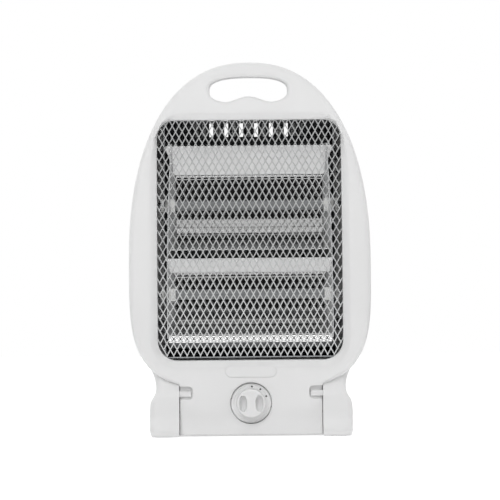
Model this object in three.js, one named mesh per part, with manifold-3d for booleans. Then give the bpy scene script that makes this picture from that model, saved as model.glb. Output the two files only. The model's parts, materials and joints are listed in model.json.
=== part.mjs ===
// Two-bar quartz heater that stands on two side feet: white plastic casing in two shells with a grip hole,
// an expanded-metal guard, two reflectors with their quartz tubes, and the controls in the base.
// Millimetres, +Z up, the front faces -Y, origin at the middle of the footprint on the floor.

import * as THREE from "three";
import { mergeVertices } from "three/addons/utils/BufferGeometryUtils.js";
import Module from "manifold-3d";

const wasm = await Module();
wasm.setup();

// ---- driving dimensions ----

const fit = 0.3; // gap that touching pieces keep
const wall = 2.5; // casing wall

// casing outline, seen from the front
const bodyHalfWidth = 123;
const widestHeight = 175;
const topRise = 207.4;
const topPower = 2.3;
const bottomDrop = 127;
const bottomPower = 3.8;
const panelHalfWidth = 72.5;
const panelBottom = 1.5;
const upperSteps = 16; // outline points on each side of the oval, above and below its widest place
const lowerSteps = 11;

// casing in side view: each face is an arc about its own height
const frontReach = 47;
const frontArcHeight = 120;
const frontArcRadius = 560;
const partingReach = 4;
const partingArcRadius = 1500;
const rearReach = 52;
const rearArcHeight = 180;
const rearArcRadius = 1450;
const frontEdgeRadius = 6;
const rearEdgeRadius = 10;
const toeHeight = 34; // below this the base flares outwards
const frontToeFlare = 14;
const rearToeFlare = 10;

// grip hole
const gripHalfWidth = 40;
const gripHeight = 353.8; // where the hole is widest
const gripRise = 13.2;
const gripLobeDrop = 13.9;
const gripCentreDrop = 6.9;
const gripLobeX = 27;
const gripArchPower = 2.6;
const gripLobePower = 3;

// window and guard
const sideBorder = 28.5; // from the casing's widest side to the window
const windowHalfWidth = bodyHalfWidth - sideBorder;
const windowBottom = 77;
const windowTop = 324;
const windowTopCorner = 15;
const windowBottomCorner = 20.5;
const lipDepth = 5;
const guardThickness = 1;
const guardOverlap = 1.2;
const guardRim = 3;
const cellWidth = 23.8;
const cellHeight = 43;
const strandWidth = 3;

// heater box
const shieldGap = 7.5; // from the window's side to the box's side
const shieldHalfWidth = windowHalfWidth - shieldGap;
const sheet = 1; // shield, reflector and bracket sheet
const shieldBottom = 80;
const shieldTop = 322;
const shieldBackY = 24;
const shieldSetback = 6.9; // from the casing's front face to the box's front edges
const ventCount = 15;
const ventPitch = 7.7;
const ventWidth = 4;
const ventBottom = 306;
const ventTop = 320;
const earHeights = [112, 286];
const earReach = 17;
const earScrewInset = 3.7;
const earOuterX = shieldHalfWidth + earReach;
const earScrewX = earOuterX - earScrewInset;
const earHalfHeight = 6;
const mouthSetback = 9; // from the casing's front face to a reflector's edge
const upperMouth = [190, 296]; // lowest and highest edge of the upper reflector
const upperCreases = [220.5, 263];
const upperShoulder = [1, 266]; // y and height where the top wing turns back
const upperBackY = 10;
const lowerMouth = [103, 181];
const lowerCreases = [128, 163];
const lowerShoulder = [-25, 166];
const lowerBackY = 0;
const apronTop = 100;
const apronRadius = 16;
const plateFrontInset = 1.8; // from the box's side to a side plate's outer face, at its front and back edge
const plateBackInset = 11.5;
const plateFrontX = shieldHalfWidth - plateFrontInset;
const plateBackX = shieldHalfWidth - plateBackInset;
const plateFrontY = -40;
const plateBackY = 16;

// quartz tubes
const tubeHeights = { upper: 235, lower: 144 };
const tubeSetback = 23;
const tubeRadius = 5;
const tubeWall = 1;
const tubeEndGap = 7; // from the box's side to a tube's end
const tubeHalfLength = shieldHalfWidth - tubeEndGap;
const coilRadius = 1.6;
const coilEndGap = 2;
const coilHalfLength = tubeHalfLength - coilEndGap;
const capSize = 13;
const capGrip = 4; // how far a ceramic block reaches over its tube
const capLength = 14;
const capInnerX = tubeHalfLength - capGrip;
const capOuterX = capInnerX + capLength;
const pinRadius = 1;
const bladeWidth = 6.3;
const bladeThickness = 0.8;
const bladeReach = 8.5;
const bladeEndX = capOuterX + bladeReach;

// controls
const dialHeight = 33.5;
const dialRadius = 20.75;
const dialThickness = 2.4;
const dialRecess = 0.8;
const knobRadius = 15;
const knobDepth = 14;
const knobBoreDepth = 10;
const scoopX = 7.9;
const scoopHalfSize = [4.5, 9, 8.7];
const shaftRadius = 3;
const shaftEngagement = 7;
const switchSize = [24, 17, 24];
const badgeHalfLength = 26;
const badgeHalfHeight = 6;
const badgeHeight = 65.9;
const badgeThickness = 1;

// base
const basePlateBottom = 4.3;
const basePlateTop = 6.8;
const basePlateGap = 0.5; // between the base plate and the casing around it
const bottomOpening = [panelHalfWidth - 12.5, 33];
const basePostInset = 22.5; // from the panel's side
const basePostX = panelHalfWidth - basePostInset;
const basePostY = 26;
const basePostTop = 18;
const postRadius = 4;
const wellRadius = 5.6;
const wellFloor = 4;
const pilotRadius = 1.9;
const shankRadius = 1.6;
const headRadius = 3.4;
const headDepth = 2.2;
const sideScrewInset = 15;
const casingScrewPlaces = [[70, 333], [bodyHalfWidth - sideScrewInset, widestHeight], [panelHalfWidth - 24.5, 44]];
const glandX = -35;
const glandHeight = 22;
const glandRadius = 5;

// feet: rows of height, width and half depth
const footGap = 1; // between the panel's side and a foot
const footInnerX = panelHalfWidth + footGap;
const footHalfDepth = 60;
const footRows = [
  [0.8, 28.3, footHalfDepth - 1.5],
  [2.4, 29.3, footHalfDepth],
  [12, 30.5, 56],
  [18, 30.5, 51],
  [30, 30, 47.5],
  [37, 28.5, 46],
  [41, 26, 45],
  [46, 24, 42],
  [52, 23.8, 38],
  [60, 25.5, 33.5],
  [70, 30, 29],
];
const footCornerRadius = 8;
const footCavity = [3, 25.5, 40, 36]; // from the foot's inner side to its two sides, half depth, top
const footScrewHeight = 24;
const footScrewYs = [-22];
const soleThickness = 3;
const soleXs = [footInnerX + 6.5, footInnerX + 23.5];
const soleYs = [43, 54];
const tabXs = [panelHalfWidth - 12, footInnerX + 0.5];
const tabHeights = [38.7, 46.3];
const notchXs = [tabXs[0] - 0.5, footInnerX + 4.5];
const notchHeights = [38, 50];
const notchDepth = 3.5;

// tip-over switch
const plungerInset = 32.5; // from the panel's side
const plungerX = panelHalfWidth - plungerInset;
const plungerY = 8;
const plungerRadius = 4;
const plungerShoulder = 9;
const stemRadius = 1.5;
const stemTop = 27;
const guideRadius = 7;
const guideTop = 20;
const springRadius = 2.9;
const springWire = 0.4;
const springTurns = 5;
const leverLength = 18;
const leverGap = 0.4;
const microswitchSize = [20.4, 10, 9];

const wireRadius = 1.1;
const bandHeight = 27; // flat bands in which thin pieces follow the casing's curved front

// ---- shape helpers ----

function merged(geometry) {
  const plain = geometry.index ? geometry.toNonIndexed() : geometry.clone();
  plain.deleteAttribute("normal");
  plain.deleteAttribute("uv");
  return mergeVertices(plain, 1e-4);
}

// The signed volume tells whether the faces point outwards.
function outward(geometry) {
  const [position, index] = [geometry.attributes.position, geometry.index.array];
  const corner = (i) => new THREE.Vector3().fromBufferAttribute(position, i);
  let volume = 0;
  for (let i = 0; i < index.length; i += 3) {
    volume += corner(index[i]).dot(corner(index[i + 1]).cross(corner(index[i + 2])));
  }
  if (volume < 0) {
    for (let i = 0; i < index.length; i += 3) {
      [index[i], index[i + 1]] = [index[i + 1], index[i]];
    }
  }
  return geometry;
}

function solidOf(geometry) {
  const closed = merged(geometry);
  const mesh = new wasm.Mesh({
    numProp: 3,
    vertProperties: new Float32Array(closed.attributes.position.array),
    triVerts: new Uint32Array(closed.index.array),
  });
  return new wasm.Manifold(mesh);
}

function geometryOf(solid) {
  const mesh = solid.getMesh();
  const geometry = new THREE.BufferGeometry();
  geometry.setAttribute("position", new THREE.BufferAttribute(mesh.vertProperties, 3));
  geometry.setIndex(new THREE.BufferAttribute(mesh.triVerts, 1));
  return geometry;
}

function join(...geometries) {
  return geometryOf(geometries.map(solidOf).reduce((all, one) => all.add(one)));
}

function cut(geometry, ...tools) {
  return geometryOf(tools.map(solidOf).reduce((rest, tool) => rest.subtract(tool), solidOf(geometry)));
}

function common(first, second) {
  return geometryOf(solidOf(first).intersect(solidOf(second)));
}

function block(x0, x1, y0, y1, z0, z1) {
  const box = new THREE.BoxGeometry(Math.abs(x1 - x0), y1 - y0, z1 - z0);
  return box.translate((x0 + x1) / 2, (y0 + y1) / 2, (z0 + z1) / 2);
}

// A round bar between two points.
function bar(from, to, radius, sides = 12) {
  const start = new THREE.Vector3(...from);
  const span = new THREE.Vector3(...to).sub(start);
  const cylinder = new THREE.CylinderGeometry(radius, radius, span.length(), sides);
  const up = new THREE.Vector3(0, 1, 0);
  cylinder.applyQuaternion(new THREE.Quaternion().setFromUnitVectors(up, span.clone().normalize()));
  return cylinder.translate(...start.addScaledVector(span, 0.5).toArray());
}

// A turned piece from [radius, distance] pairs that close on themselves or on the axis.
// It is turned about the direction given and moved to its place.
function turned(profile, direction, place, sides = 16) {
  const points = profile.map(([r, d]) => new THREE.Vector2(r, d));
  const lathe = outward(merged(new THREE.LatheGeometry(points, sides)));
  const up = new THREE.Vector3(0, 1, 0);
  lathe.applyQuaternion(new THREE.Quaternion().setFromUnitVectors(up, new THREE.Vector3(...direction)));
  return lathe.translate(...place);
}

// A curved face as flat bands, which meet at whole multiples of the band height.
function banded(face) {
  return (z) => {
    const low = Math.floor(z / bandHeight) * bandHeight;
    return THREE.MathUtils.lerp(face(low), face(low + bandHeight), (z - low) / bandHeight);
  };
}

// A straight prism along Y of an outline given as [x, z] pairs.
function prism(outline, frontY, backY) {
  const shape = new THREE.Shape(outline.map(([x, z]) => new THREE.Vector2(x, -z)));
  const geometry = new THREE.ExtrudeGeometry(shape, { depth: backY - frontY, bevelEnabled: false });
  return geometry.rotateX(-Math.PI / 2).translate(0, frontY, 0);
}

// A piece seen from the front as an outline with holes cut in it, between two faces given as y by height.
// It is made band by band, because each band's faces are flat.
function between(outline, frontFaceY, backFaceY, ...holes) {
  const flat = solidOf(cut(prism(outline, 0, 1), ...holes.map((hole) => prism(hole, -1, 2))));
  const heights = outline.map(([, z]) => z);
  const [front, back] = [banded(frontFaceY), banded(backFaceY)];
  const bands = [];
  for (let low = Math.floor(Math.min(...heights) / bandHeight) * bandHeight;
    low < Math.max(...heights); low += bandHeight) {
    const band = geometryOf(flat.intersect(solidOf(block(-200, 200, -1, 2, low, low + bandHeight))));
    const position = band.attributes.position;
    for (let i = 0; i < position.count; i += 1) {
      const z = position.getZ(i);
      const inBand = THREE.MathUtils.clamp(z, low, low + bandHeight - 1e-6);
      position.setY(i, position.getY(i) < 0.5 ? front(inBand) : back(inBand));
    }
    bands.push(band);
  }
  return join(...bands.filter((band) => band.index.count > 0));
}

// A prism along X of an outline given as [y, z] pairs.
function rail(outline, x0, x1) {
  const shape = new THREE.Shape(outline.map(([y, z]) => new THREE.Vector2(y, z)));
  const geometry = new THREE.ExtrudeGeometry(shape, { depth: x1 - x0, bevelEnabled: false });
  const turn = new THREE.Matrix4().makeBasis(
    new THREE.Vector3(0, 1, 0),
    new THREE.Vector3(0, 0, 1),
    new THREE.Vector3(1, 0, 0),
  );
  return geometry.applyMatrix4(turn).translate(x0, 0, 0);
}

// A prism along Z of an outline given as [x, y] pairs.
function column(outline, z0, z1) {
  const shape = new THREE.Shape(outline.map(([x, y]) => new THREE.Vector2(x, y)));
  const geometry = new THREE.ExtrudeGeometry(shape, { depth: z1 - z0, bevelEnabled: false });
  return geometry.translate(0, 0, z0);
}

function roundedBar(halfWidth, low, high, lowCorner, highCorner, steps = 4) {
  const corners = [
    [halfWidth - lowCorner, low + lowCorner, lowCorner, -90],
    [halfWidth - highCorner, high - highCorner, highCorner, 0],
    [highCorner - halfWidth, high - highCorner, highCorner, 90],
    [lowCorner - halfWidth, low + lowCorner, lowCorner, 180],
  ];
  return corners.flatMap(([x, z, radius, start]) =>
    Array.from({ length: steps + 1 }, (_, i) => {
      const angle = THREE.MathUtils.degToRad(start + (90 * i) / steps);
      return [x + radius * Math.cos(angle), z + radius * Math.sin(angle)];
    }),
  );
}

// A folded sheet in side view: the [y, z] line of its inner face, thickened on its left side.
function ribbon(line, thickness) {
  const offset = line.map((point, i) => {
    const before = new THREE.Vector2(...(line[i - 1] ?? point));
    const after = new THREE.Vector2(...(line[i + 1] ?? point));
    const here = new THREE.Vector2(...point);
    const first = i > 0 ? here.clone().sub(before).normalize() : after.clone().sub(here).normalize();
    const second = i < line.length - 1 ? after.clone().sub(here).normalize() : first.clone();
    const normal = new THREE.Vector2(-(first.y + second.y), first.x + second.x).normalize();
    const stretch = thickness / normal.dot(new THREE.Vector2(-first.y, first.x));
    return here.addScaledVector(normal, stretch).toArray();
  });
  return line.concat(offset.reverse());
}

// A wire along chosen points.
function wire(points, radius = wireRadius, steps = 5, sides = 6) {
  const path = new THREE.CatmullRomCurve3(points.map((point) => new THREE.Vector3(...point)));
  const section = new THREE.Shape(
    Array.from({ length: sides }, (_, i) => {
      const angle = (2 * Math.PI * i) / sides;
      return new THREE.Vector2(radius * Math.cos(angle), radius * Math.sin(angle));
    }),
  );
  const options = { steps: steps * (points.length - 1), extrudePath: path, bevelEnabled: false };
  return new THREE.ExtrudeGeometry(section, options);
}

// ---- casing faces ----

const flare = (z) => Math.max(0, (toeHeight - z) / toeHeight) ** 2;
const frontFace = (z) =>
  -frontReach + (z - frontArcHeight) ** 2 / (2 * frontArcRadius) - frontToeFlare * flare(z);
const partingFace = (z) => partingReach + (z - frontArcHeight) ** 2 / (2 * partingArcRadius);
const rearFace = (z) => rearReach - (z - rearArcHeight) ** 2 / (2 * rearArcRadius) + rearToeFlare * flare(z);
const behindFront = (depth) => (z) => frontFace(z) + depth;

// Right-hand side of the casing outline from the top middle to the bottom, as [x, z, edge weight].
// The oval has the full edge radius, and the straight sides of the panel hardly any.
function casingSide() {
  const side = [];
  for (let i = 0; i <= upperSteps; i += 1) {
    const angle = (Math.PI / 2) * (i / upperSteps);
    const x = bodyHalfWidth * Math.sin(angle) ** (2 / topPower);
    const rise = topRise * Math.max(0, Math.cos(angle)) ** (2 / topPower);
    side.push([x, widestHeight + rise, 1]);
  }
  const endAngle = Math.asin(((panelHalfWidth + 1) / bodyHalfWidth) ** (bottomPower / 2));
  for (let i = 1; i <= lowerSteps; i += 1) {
    const angle = Math.PI / 2 - (Math.PI / 2 - endAngle) * (i / lowerSteps);
    const x = bodyHalfWidth * Math.sin(angle) ** (2 / bottomPower);
    const drop = bottomDrop * Math.cos(angle) ** (2 / bottomPower);
    side.push([x, widestHeight - drop, i > lowerSteps - 2 ? 0.5 : 1]);
  }
  const neck = side[side.length - 1][1] - 2;
  for (const z of [neck, neck - 9, dialHeight, toeHeight - 9, toeHeight / 2, toeHeight / 4, panelBottom]) {
    side.push([panelHalfWidth, z, 0.15]);
  }
  return side;
}

// The outline moved inwards, every point by inset and by its edge weight times round.
function casingRing(inset, round, face) {
  const side = casingSide();
  const last = side.length - 1;
  const moved = side.map(([x, z, weight], i) => {
    const before = side[Math.max(i - 1, 0)];
    const after = side[Math.min(i + 1, last)];
    const tangent = new THREE.Vector2(after[0] - before[0], after[1] - before[1]);
    if (i === 0) {
      tangent.set(1, 0);
    }
    if (i === last) {
      tangent.set(-1, -1);
    }
    const depth = (inset + round * weight) * (i === last ? Math.SQRT2 : 1);
    tangent.setLength(depth);
    return [x + tangent.y, z - tangent.x, weight];
  });
  const right = moved.map(([x, z, weight]) => [x, face(z, weight), z]);
  const left = right.slice(1).reverse();
  return right.concat(left.map(([x, y, z]) => [-x, y, z]));
}

// A closed skin through rings of equal count; endFaces gives the triangles that close a ring.
function ringSkin(rings, endFaces) {
  const count = rings[0].length;
  const faces = [];
  for (let k = 0; k + 1 < rings.length; k += 1) {
    for (let i = 0; i < count; i += 1) {
      const next = (i + 1) % count;
      const [a, b, c, d] = [k * count + i, k * count + next, (k + 1) * count + next, (k + 1) * count + i];
      faces.push(a, b, c, a, c, d);
    }
  }
  const lastRing = (rings.length - 1) * count;
  for (const [a, b, c] of endFaces(count)) {
    faces.push(a, c, b);
    faces.push(lastRing + a, lastRing + b, lastRing + c);
  }
  const geometry = new THREE.BufferGeometry();
  geometry.setAttribute("position", new THREE.Float32BufferAttribute(rings.flat(2), 3));
  geometry.setIndex(faces);
  return outward(geometry);
}

// Closes a ring that is the same on both sides by strips from side to side.
function crossStrips(count) {
  const strips = [[0, 1, count - 1]];
  for (let i = 1; i < (count - 1) / 2; i += 1) {
    strips.push([i, i + 1, count - i - 1], [i, count - i - 1, count - i]);
  }
  return strips;
}

// A casing shell from the parting face to its own face, hollow and open at the parting face.
// side is -1 for the front shell and 1 for the rear shell.
function casingShell(face, side, radius, startFace) {
  const steps = 3;
  const skin = (inset, roundness) => {
    const rings = [casingRing(inset, 0, startFace)];
    for (let i = 0; i <= steps; i += 1) {
      const angle = (Math.PI / 2) * (i / steps);
      const round = roundness * (1 - Math.cos(angle));
      const back = roundness * (1 - Math.sin(angle));
      rings.push(casingRing(inset, round, (z, weight) => face(z) - side * (inset + back * weight)));
    }
    return rings;
  };
  const rings = skin(wall, radius - wall).reverse().concat(skin(0, radius));
  return ringSkin(rings, crossStrips);
}

// Outline of the grip hole, grown by offset: a flat arch above, two lobes and a rise between them below.
function gripOutline(offset, steps = 18) {
  const halfWidth = gripHalfWidth + offset;
  const arch = [];
  const smile = [];
  for (let i = 0; i < steps; i += 1) {
    const x = halfWidth * Math.cos((Math.PI * i) / steps);
    const part = Math.abs(x) / halfWidth;
    const rise = (gripRise + offset) * (1 - part ** gripArchPower) ** (1 / gripArchPower);
    const lobe = 0.5 - 0.5 * Math.cos(Math.PI * Math.min(1, Math.abs(x) / gripLobeX));
    const depth = gripCentreDrop + (gripLobeDrop - gripCentreDrop) * lobe + offset;
    const drop = depth * (1 - part ** gripLobePower) ** (1 / gripLobePower);
    arch.push([x, gripHeight + rise]);
    smile.push([-x, gripHeight - drop]);
  }
  return arch.concat(smile);
}

function windowOutline(offset) {
  const low = windowBottomCorner + offset;
  const high = windowTopCorner + offset;
  return roundedBar(windowHalfWidth + offset, windowBottom - offset, windowTop + offset, low, high);
}

const gripHole = prism(gripOutline(0), -80, 90);
const mirroredPlaces = casingScrewPlaces.flatMap(([x, z]) => [[x, z], [-x, z]]);
const baseScrewPlaces = [1, -1].flatMap((side) => [1, -1].map((end) => [side * basePostX, end * basePostY]));

// ---- the object ----

const heater = new THREE.Group();
heater.name = "heater";

const finishes = {
  casing: { color: 0xebebe9, roughness: 0.38, metalness: 0 },
  darkPlastic: { color: 0x26272a, roughness: 0.5, metalness: 0 },
  lightPlastic: { color: 0xd8d8d2, roughness: 0.5, metalness: 0 },
  wire: { color: 0xa8a9ab, roughness: 0.35, metalness: 0.9 },
  bright: { color: 0xd6d8da, roughness: 0.14, metalness: 1 },
  steel: { color: 0x8d8f92, roughness: 0.4, metalness: 1 },
  quartz: { color: 0xe4e6e6, roughness: 0.25, metalness: 0 },
  filament: { color: 0x55504a, roughness: 0.5, metalness: 0.8 },
  ceramic: { color: 0xe9e6dd, roughness: 0.6, metalness: 0 },
  rubber: { color: 0x2b2b2b, roughness: 0.9, metalness: 0 },
};

function add(name, finish, geometry) {
  const mesh = new THREE.Mesh(geometry, new THREE.MeshStandardMaterial(finishes[finish]));
  mesh.name = name;
  heater.add(mesh);
}

// A pan-head screw: its head's seat at place, the shank along direction.
function addScrew(name, place, direction, length) {
  const profile = [
    [0, length],
    [shankRadius, length],
    [shankRadius, 0],
    [headRadius, 0],
    [0.8 * headRadius, -headDepth],
    [0, -headDepth],
  ];
  add(name, "steel", turned(profile, direction, place, 10));
}

function addCasing() {
  const windowHole = prism(windowOutline(0), -80, 20);
  const lip = between(windowOutline(wall), behindFront(2), behindFront(lipDepth), windowOutline(-1));
  const frontSleeve = between(gripOutline(wall), behindFront(1), partingFace);
  const dialHole = bar([0, -80, dialHeight], [0, -34, dialHeight], dialRadius + fit, 32);
  const frontPosts = mirroredPlaces.map(([x, z]) =>
    bar([x, frontFace(z) + 1, z], [x, partingFace(z) - 0.5, z], postRadius),
  );
  const frontPilots = mirroredPlaces.map(([x, z]) =>
    bar([x, partingFace(z) - 13, z], [x, partingFace(z) + 5, z], pilotRadius, 8),
  );
  const earPosts = [];
  const earPilots = [];
  const pockets = [];
  const notches = [];
  for (const side of [-1, 1]) {
    for (const z of earHeights) {
      earPosts.push(bar([side * earScrewX, frontFace(z) + 1, z], [side * earScrewX, -fit, z], postRadius));
      earPilots.push(bar([side * earScrewX, -12, z], [side * earScrewX, 4, z], pilotRadius, 8));
    }
    const notchBack = frontFace(notchHeights[0]) + notchDepth;
    const [x0, x1] = notchXs.map((x) => side * x).sort((a, b) => a - b);
    notches.push(block(x0, x1, -60, notchBack, ...notchHeights));
    const [p0, p1] = [notchXs[0] - 2, panelHalfWidth - 0.5].map((x) => side * x).sort((a, b) => a - b);
    const backing = block(p0, p1, -42, notchBack + 2, notchHeights[0] - 2, notchHeights[1] + 1);
    pockets.push(backing);
  }
  const frontBasePosts = [];
  const rearBasePosts = [];
  const basePilots = [];
  for (const [x, y] of baseScrewPlaces) {
    const square = [
      [x - postRadius, basePlateTop + fit],
      [x + postRadius, basePlateTop + fit],
      [x + postRadius, basePostTop],
      [x - postRadius, basePostTop],
    ];
    if (y < 0) {
      frontBasePosts.push(between(square, behindFront(1), () => y + postRadius));
    } else {
      rearBasePosts.push(between(square, () => y - postRadius, (z) => rearFace(z) - 1));
    }
    basePilots.push(bar([x, y, 0], [x, y, basePostTop - 3], pilotRadius, 8));
  }
  const [openX, openY] = bottomOpening;
  const bottomHole = block(-openX, openX, -openY, openY, -5, basePlateBottom + 0.2);
  const footHoles = footScrewYs.flatMap((y) =>
    [-1, 1].map((side) => {
      const [inner, outer] = [panelHalfWidth - 12, panelHalfWidth + 8].map((x) => side * x);
      return bar([inner, y, footScrewHeight], [outer, y, footScrewHeight], pilotRadius, 8);
    }),
  );

  const frontBody = join(
    casingShell(frontFace, -1, frontEdgeRadius, partingFace),
    lip,
    frontSleeve,
    ...frontPosts,
    ...earPosts,
    ...pockets,
    ...frontBasePosts,
  );
  const frontCuts = [windowHole, gripHole, dialHole, bottomHole, ...frontPilots, ...earPilots, ...notches];
  add("front_shell", "casing", cut(frontBody, ...frontCuts, ...basePilots, ...footHoles));

  const rearStart = (z) => partingFace(z) + fit;
  const rearSleeve = between(gripOutline(wall), rearStart, (z) => rearFace(z) - 1);
  const wells = mirroredPlaces.map(([x, z]) =>
    bar([x, partingFace(z) + 0.5, z], [x, rearFace(z) - 1, z], wellRadius),
  );
  const wellCuts = mirroredPlaces.flatMap(([x, z]) => {
    const floor = partingFace(z) + 0.5 + wellFloor;
    return [
      bar([x, floor, z], [x, rearFace(z) + 5, z], headRadius + 2 * fit),
      bar([x, floor - 9, z], [x, floor + 1, z], pilotRadius, 8),
    ];
  });
  const vents = [];
  for (let i = 0; i < 6; i += 1) {
    const x = (i - 2.5) * 2 * ventPitch;
    vents.push(block(x - ventWidth, x + ventWidth - 1, 20, 70, ventBottom - 4, ventTop + 8));
  }
  for (let i = 0; i < 7; i += 1) {
    const x = (i - 3) * 2 * ventPitch;
    vents.push(block(x - ventWidth + 1, x + ventWidth - 1, 20, 70, windowBottom + 8, windowBottom + 48));
  }
  const glandHole = bar([glandX, 20, glandHeight], [glandX, 70, glandHeight], glandRadius + fit, 16);
  const rearBody = join(
    casingShell(rearFace, 1, rearEdgeRadius, rearStart),
    rearSleeve,
    ...wells,
    ...rearBasePosts,
  );
  const rearCuts = [gripHole, bottomHole, glandHole, ...wellCuts, ...vents];
  add("rear_shell", "casing", cut(rearBody, ...rearCuts, ...basePilots, ...footHoles));

  const glandFace = rearFace(glandHeight - glandRadius) + 1;
  const gland = [
    [glandRadius - 1.5, -wall - 4],
    [glandRadius, -wall - 4],
    [glandRadius, 0],
    [glandRadius + 2.5, 0],
    [glandRadius + 2, 2],
    [glandRadius - 1.5, 2],
    [glandRadius - 1.5, -wall - 4],
  ];
  add("cord_inlet_bush", "darkPlastic", turned(gland, [0, 1, 0], [glandX, glandFace, glandHeight]));

  mirroredPlaces.forEach(([x, z], i) => {
    const seat = partingFace(z) + 0.5 + wellFloor + fit;
    addScrew(`casing_screw_${i + 1}`, [x, seat, z], [0, -1, 0], 14);
  });
}

// Outline of one opening of the guard, between its strands.
function diamond(x, z) {
  const part = 1 - strandWidth / cellWidth;
  const [across, up] = [(part * cellWidth) / 2, (part * cellHeight) / 2];
  return [[x - across, z], [x, z + up], [x + across, z], [x, z - up]];
}

// Openings stand in staggered rows over the whole guard, and the rim stays whole.
function addGuard() {
  const middle = (windowBottom + windowTop) / 2;
  const rows = Math.ceil((windowTop - windowBottom) / cellHeight);
  const columns = Math.ceil(windowHalfWidth / cellWidth);
  const openings = [];
  for (let row = -rows; row <= rows; row += 1) {
    const shift = row % 2 === 0 ? 0 : cellWidth / 2;
    for (let column = -columns - 1; column <= columns; column += 1) {
      openings.push(prism(diamond(column * cellWidth + shift, middle + (row * cellHeight) / 2), -200, 200));
    }
  }
  const front = lipDepth + fit;
  const plate = between(windowOutline(guardOverlap), behindFront(front), behindFront(front + guardThickness));
  const field = prism(windowOutline(guardOverlap - guardRim), -150, 150);
  add("guard", "wire", cut(plate, common(join(...openings), field)));
}

const dialFront = frontFace(dialHeight) + dialRecess;
const switchFront = dialFront + dialThickness + fit;
const switchBack = switchFront + switchSize[1];
const tubeY = (z) => frontFace(z) + tubeSetback;
const mouthY = (z) => frontFace(z) + mouthSetback;

// Space that a ceramic block takes, grown by a gap.
function capSpace(side, z, gap) {
  const half = capSize / 2 + gap;
  const [x0, x1] = [side * (capInnerX - gap), side * (capOuterX + gap)].sort((a, b) => a - b);
  return block(x0, x1, tubeY(z) - half, tubeY(z) + half, z - half, z + half);
}

function addHeaterBox() {
  const heights = Object.values(tubeHeights);
  const capHoles = heights.flatMap((z) => [capSpace(-1, z, fit), capSpace(1, z, fit)]);
  const frame = (inset) => [
    [shieldHalfWidth - inset, shieldBottom + inset],
    [shieldHalfWidth - inset, shieldTop - inset],
    [inset - shieldHalfWidth, shieldTop - inset],
    [inset - shieldHalfWidth, shieldBottom + inset],
  ];
  const rim = behindFront(shieldSetback);
  const walls = between(frame(0), rim, () => shieldBackY + sheet, frame(sheet));
  const back = prism(frame(sheet / 2), shieldBackY, shieldBackY + sheet);
  const ears = [];
  const earHoles = [];
  for (const side of [-1, 1]) {
    for (const z of earHeights) {
      const [x0, x1] = [side * (shieldHalfWidth - 0.5), side * earOuterX].sort((a, b) => a - b);
      ears.push(block(x0, x1, 0, sheet, z - earHalfHeight, z + earHalfHeight));
      earHoles.push(bar([side * earScrewX, -3, z], [side * earScrewX, 3, z], pilotRadius, 8));
    }
  }
  const slots = Array.from({ length: ventCount }, (_, i) => {
    const x = (i - (ventCount - 1) / 2) * ventPitch;
    return block(x - ventWidth / 2, x + ventWidth / 2, 0, 40, ventBottom, ventTop);
  });
  add("heat_shield", "steel", cut(join(walls, back, ...ears), ...capHoles, ...slots, ...earHoles));

  for (const side of [-1, 1]) {
    for (const [i, z] of earHeights.entries()) {
      const name = `shield_screw_${side < 0 ? "left" : "right"}_${i + 1}`;
      addScrew(name, [side * earScrewX, sheet + fit, z], [0, -1, 0], 10);
    }
  }

  const reach = (y) => THREE.MathUtils.mapLinear(y, plateFrontY, plateBackY, plateFrontX, plateBackX);
  const behindMouth = between(frame(-20), behindFront(mouthSetback), () => 60);
  for (const [name, side] of [["left", -1], ["right", 1]]) {
    const outline = [
      [side * reach(plateFrontY), plateFrontY],
      [side * reach(plateBackY), plateBackY],
      [side * (reach(plateBackY) - sheet), plateBackY],
      [side * (reach(plateFrontY) - sheet), plateFrontY],
    ];
    const slanted = column(side > 0 ? outline : outline.reverse(), apronTop, upperMouth[1] + 2);
    const plate = common(slanted, behindMouth);
    add(`side_plate_${name}`, "bright", cut(plate, ...capHoles));
  }

  const room = [[-1, plateFrontY - 5], [1, plateFrontY - 5], [1, plateBackY], [-1, plateBackY]];
  const plan = room.map(([side, y]) => [side * (reach(y) - sheet - fit), y]);
  const trim = column(plan, 0, 400);
  const upperLine = [
    [mouthY(upperMouth[1]), upperMouth[1]],
    upperShoulder,
    [upperBackY, upperCreases[1]],
    [upperBackY, upperCreases[0]],
    [mouthY(upperMouth[0]), upperMouth[0]],
  ];
  const apronFront = mouthY(apronTop);
  const apron = Array.from({ length: 6 }, (_, i) => {
    const angle = ((Math.PI / 2) * i) / 5;
    return [apronFront + apronRadius * (1 - Math.cos(angle)), apronTop - apronRadius * Math.sin(angle)];
  });
  const lowerLine = [
    [mouthY(lowerMouth[1]), lowerMouth[1]],
    lowerShoulder,
    [lowerBackY, lowerCreases[1]],
    [lowerBackY, lowerCreases[0]],
    [mouthY(lowerMouth[0]), lowerMouth[0]],
    ...apron,
  ];
  const halfWidth = shieldHalfWidth - sheet;
  add("reflector_upper", "bright", common(rail(ribbon(upperLine, sheet), -halfWidth, halfWidth), trim));
  add("reflector_lower", "bright", common(rail(ribbon(lowerLine, sheet), -halfWidth, halfWidth), trim));
}

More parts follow.
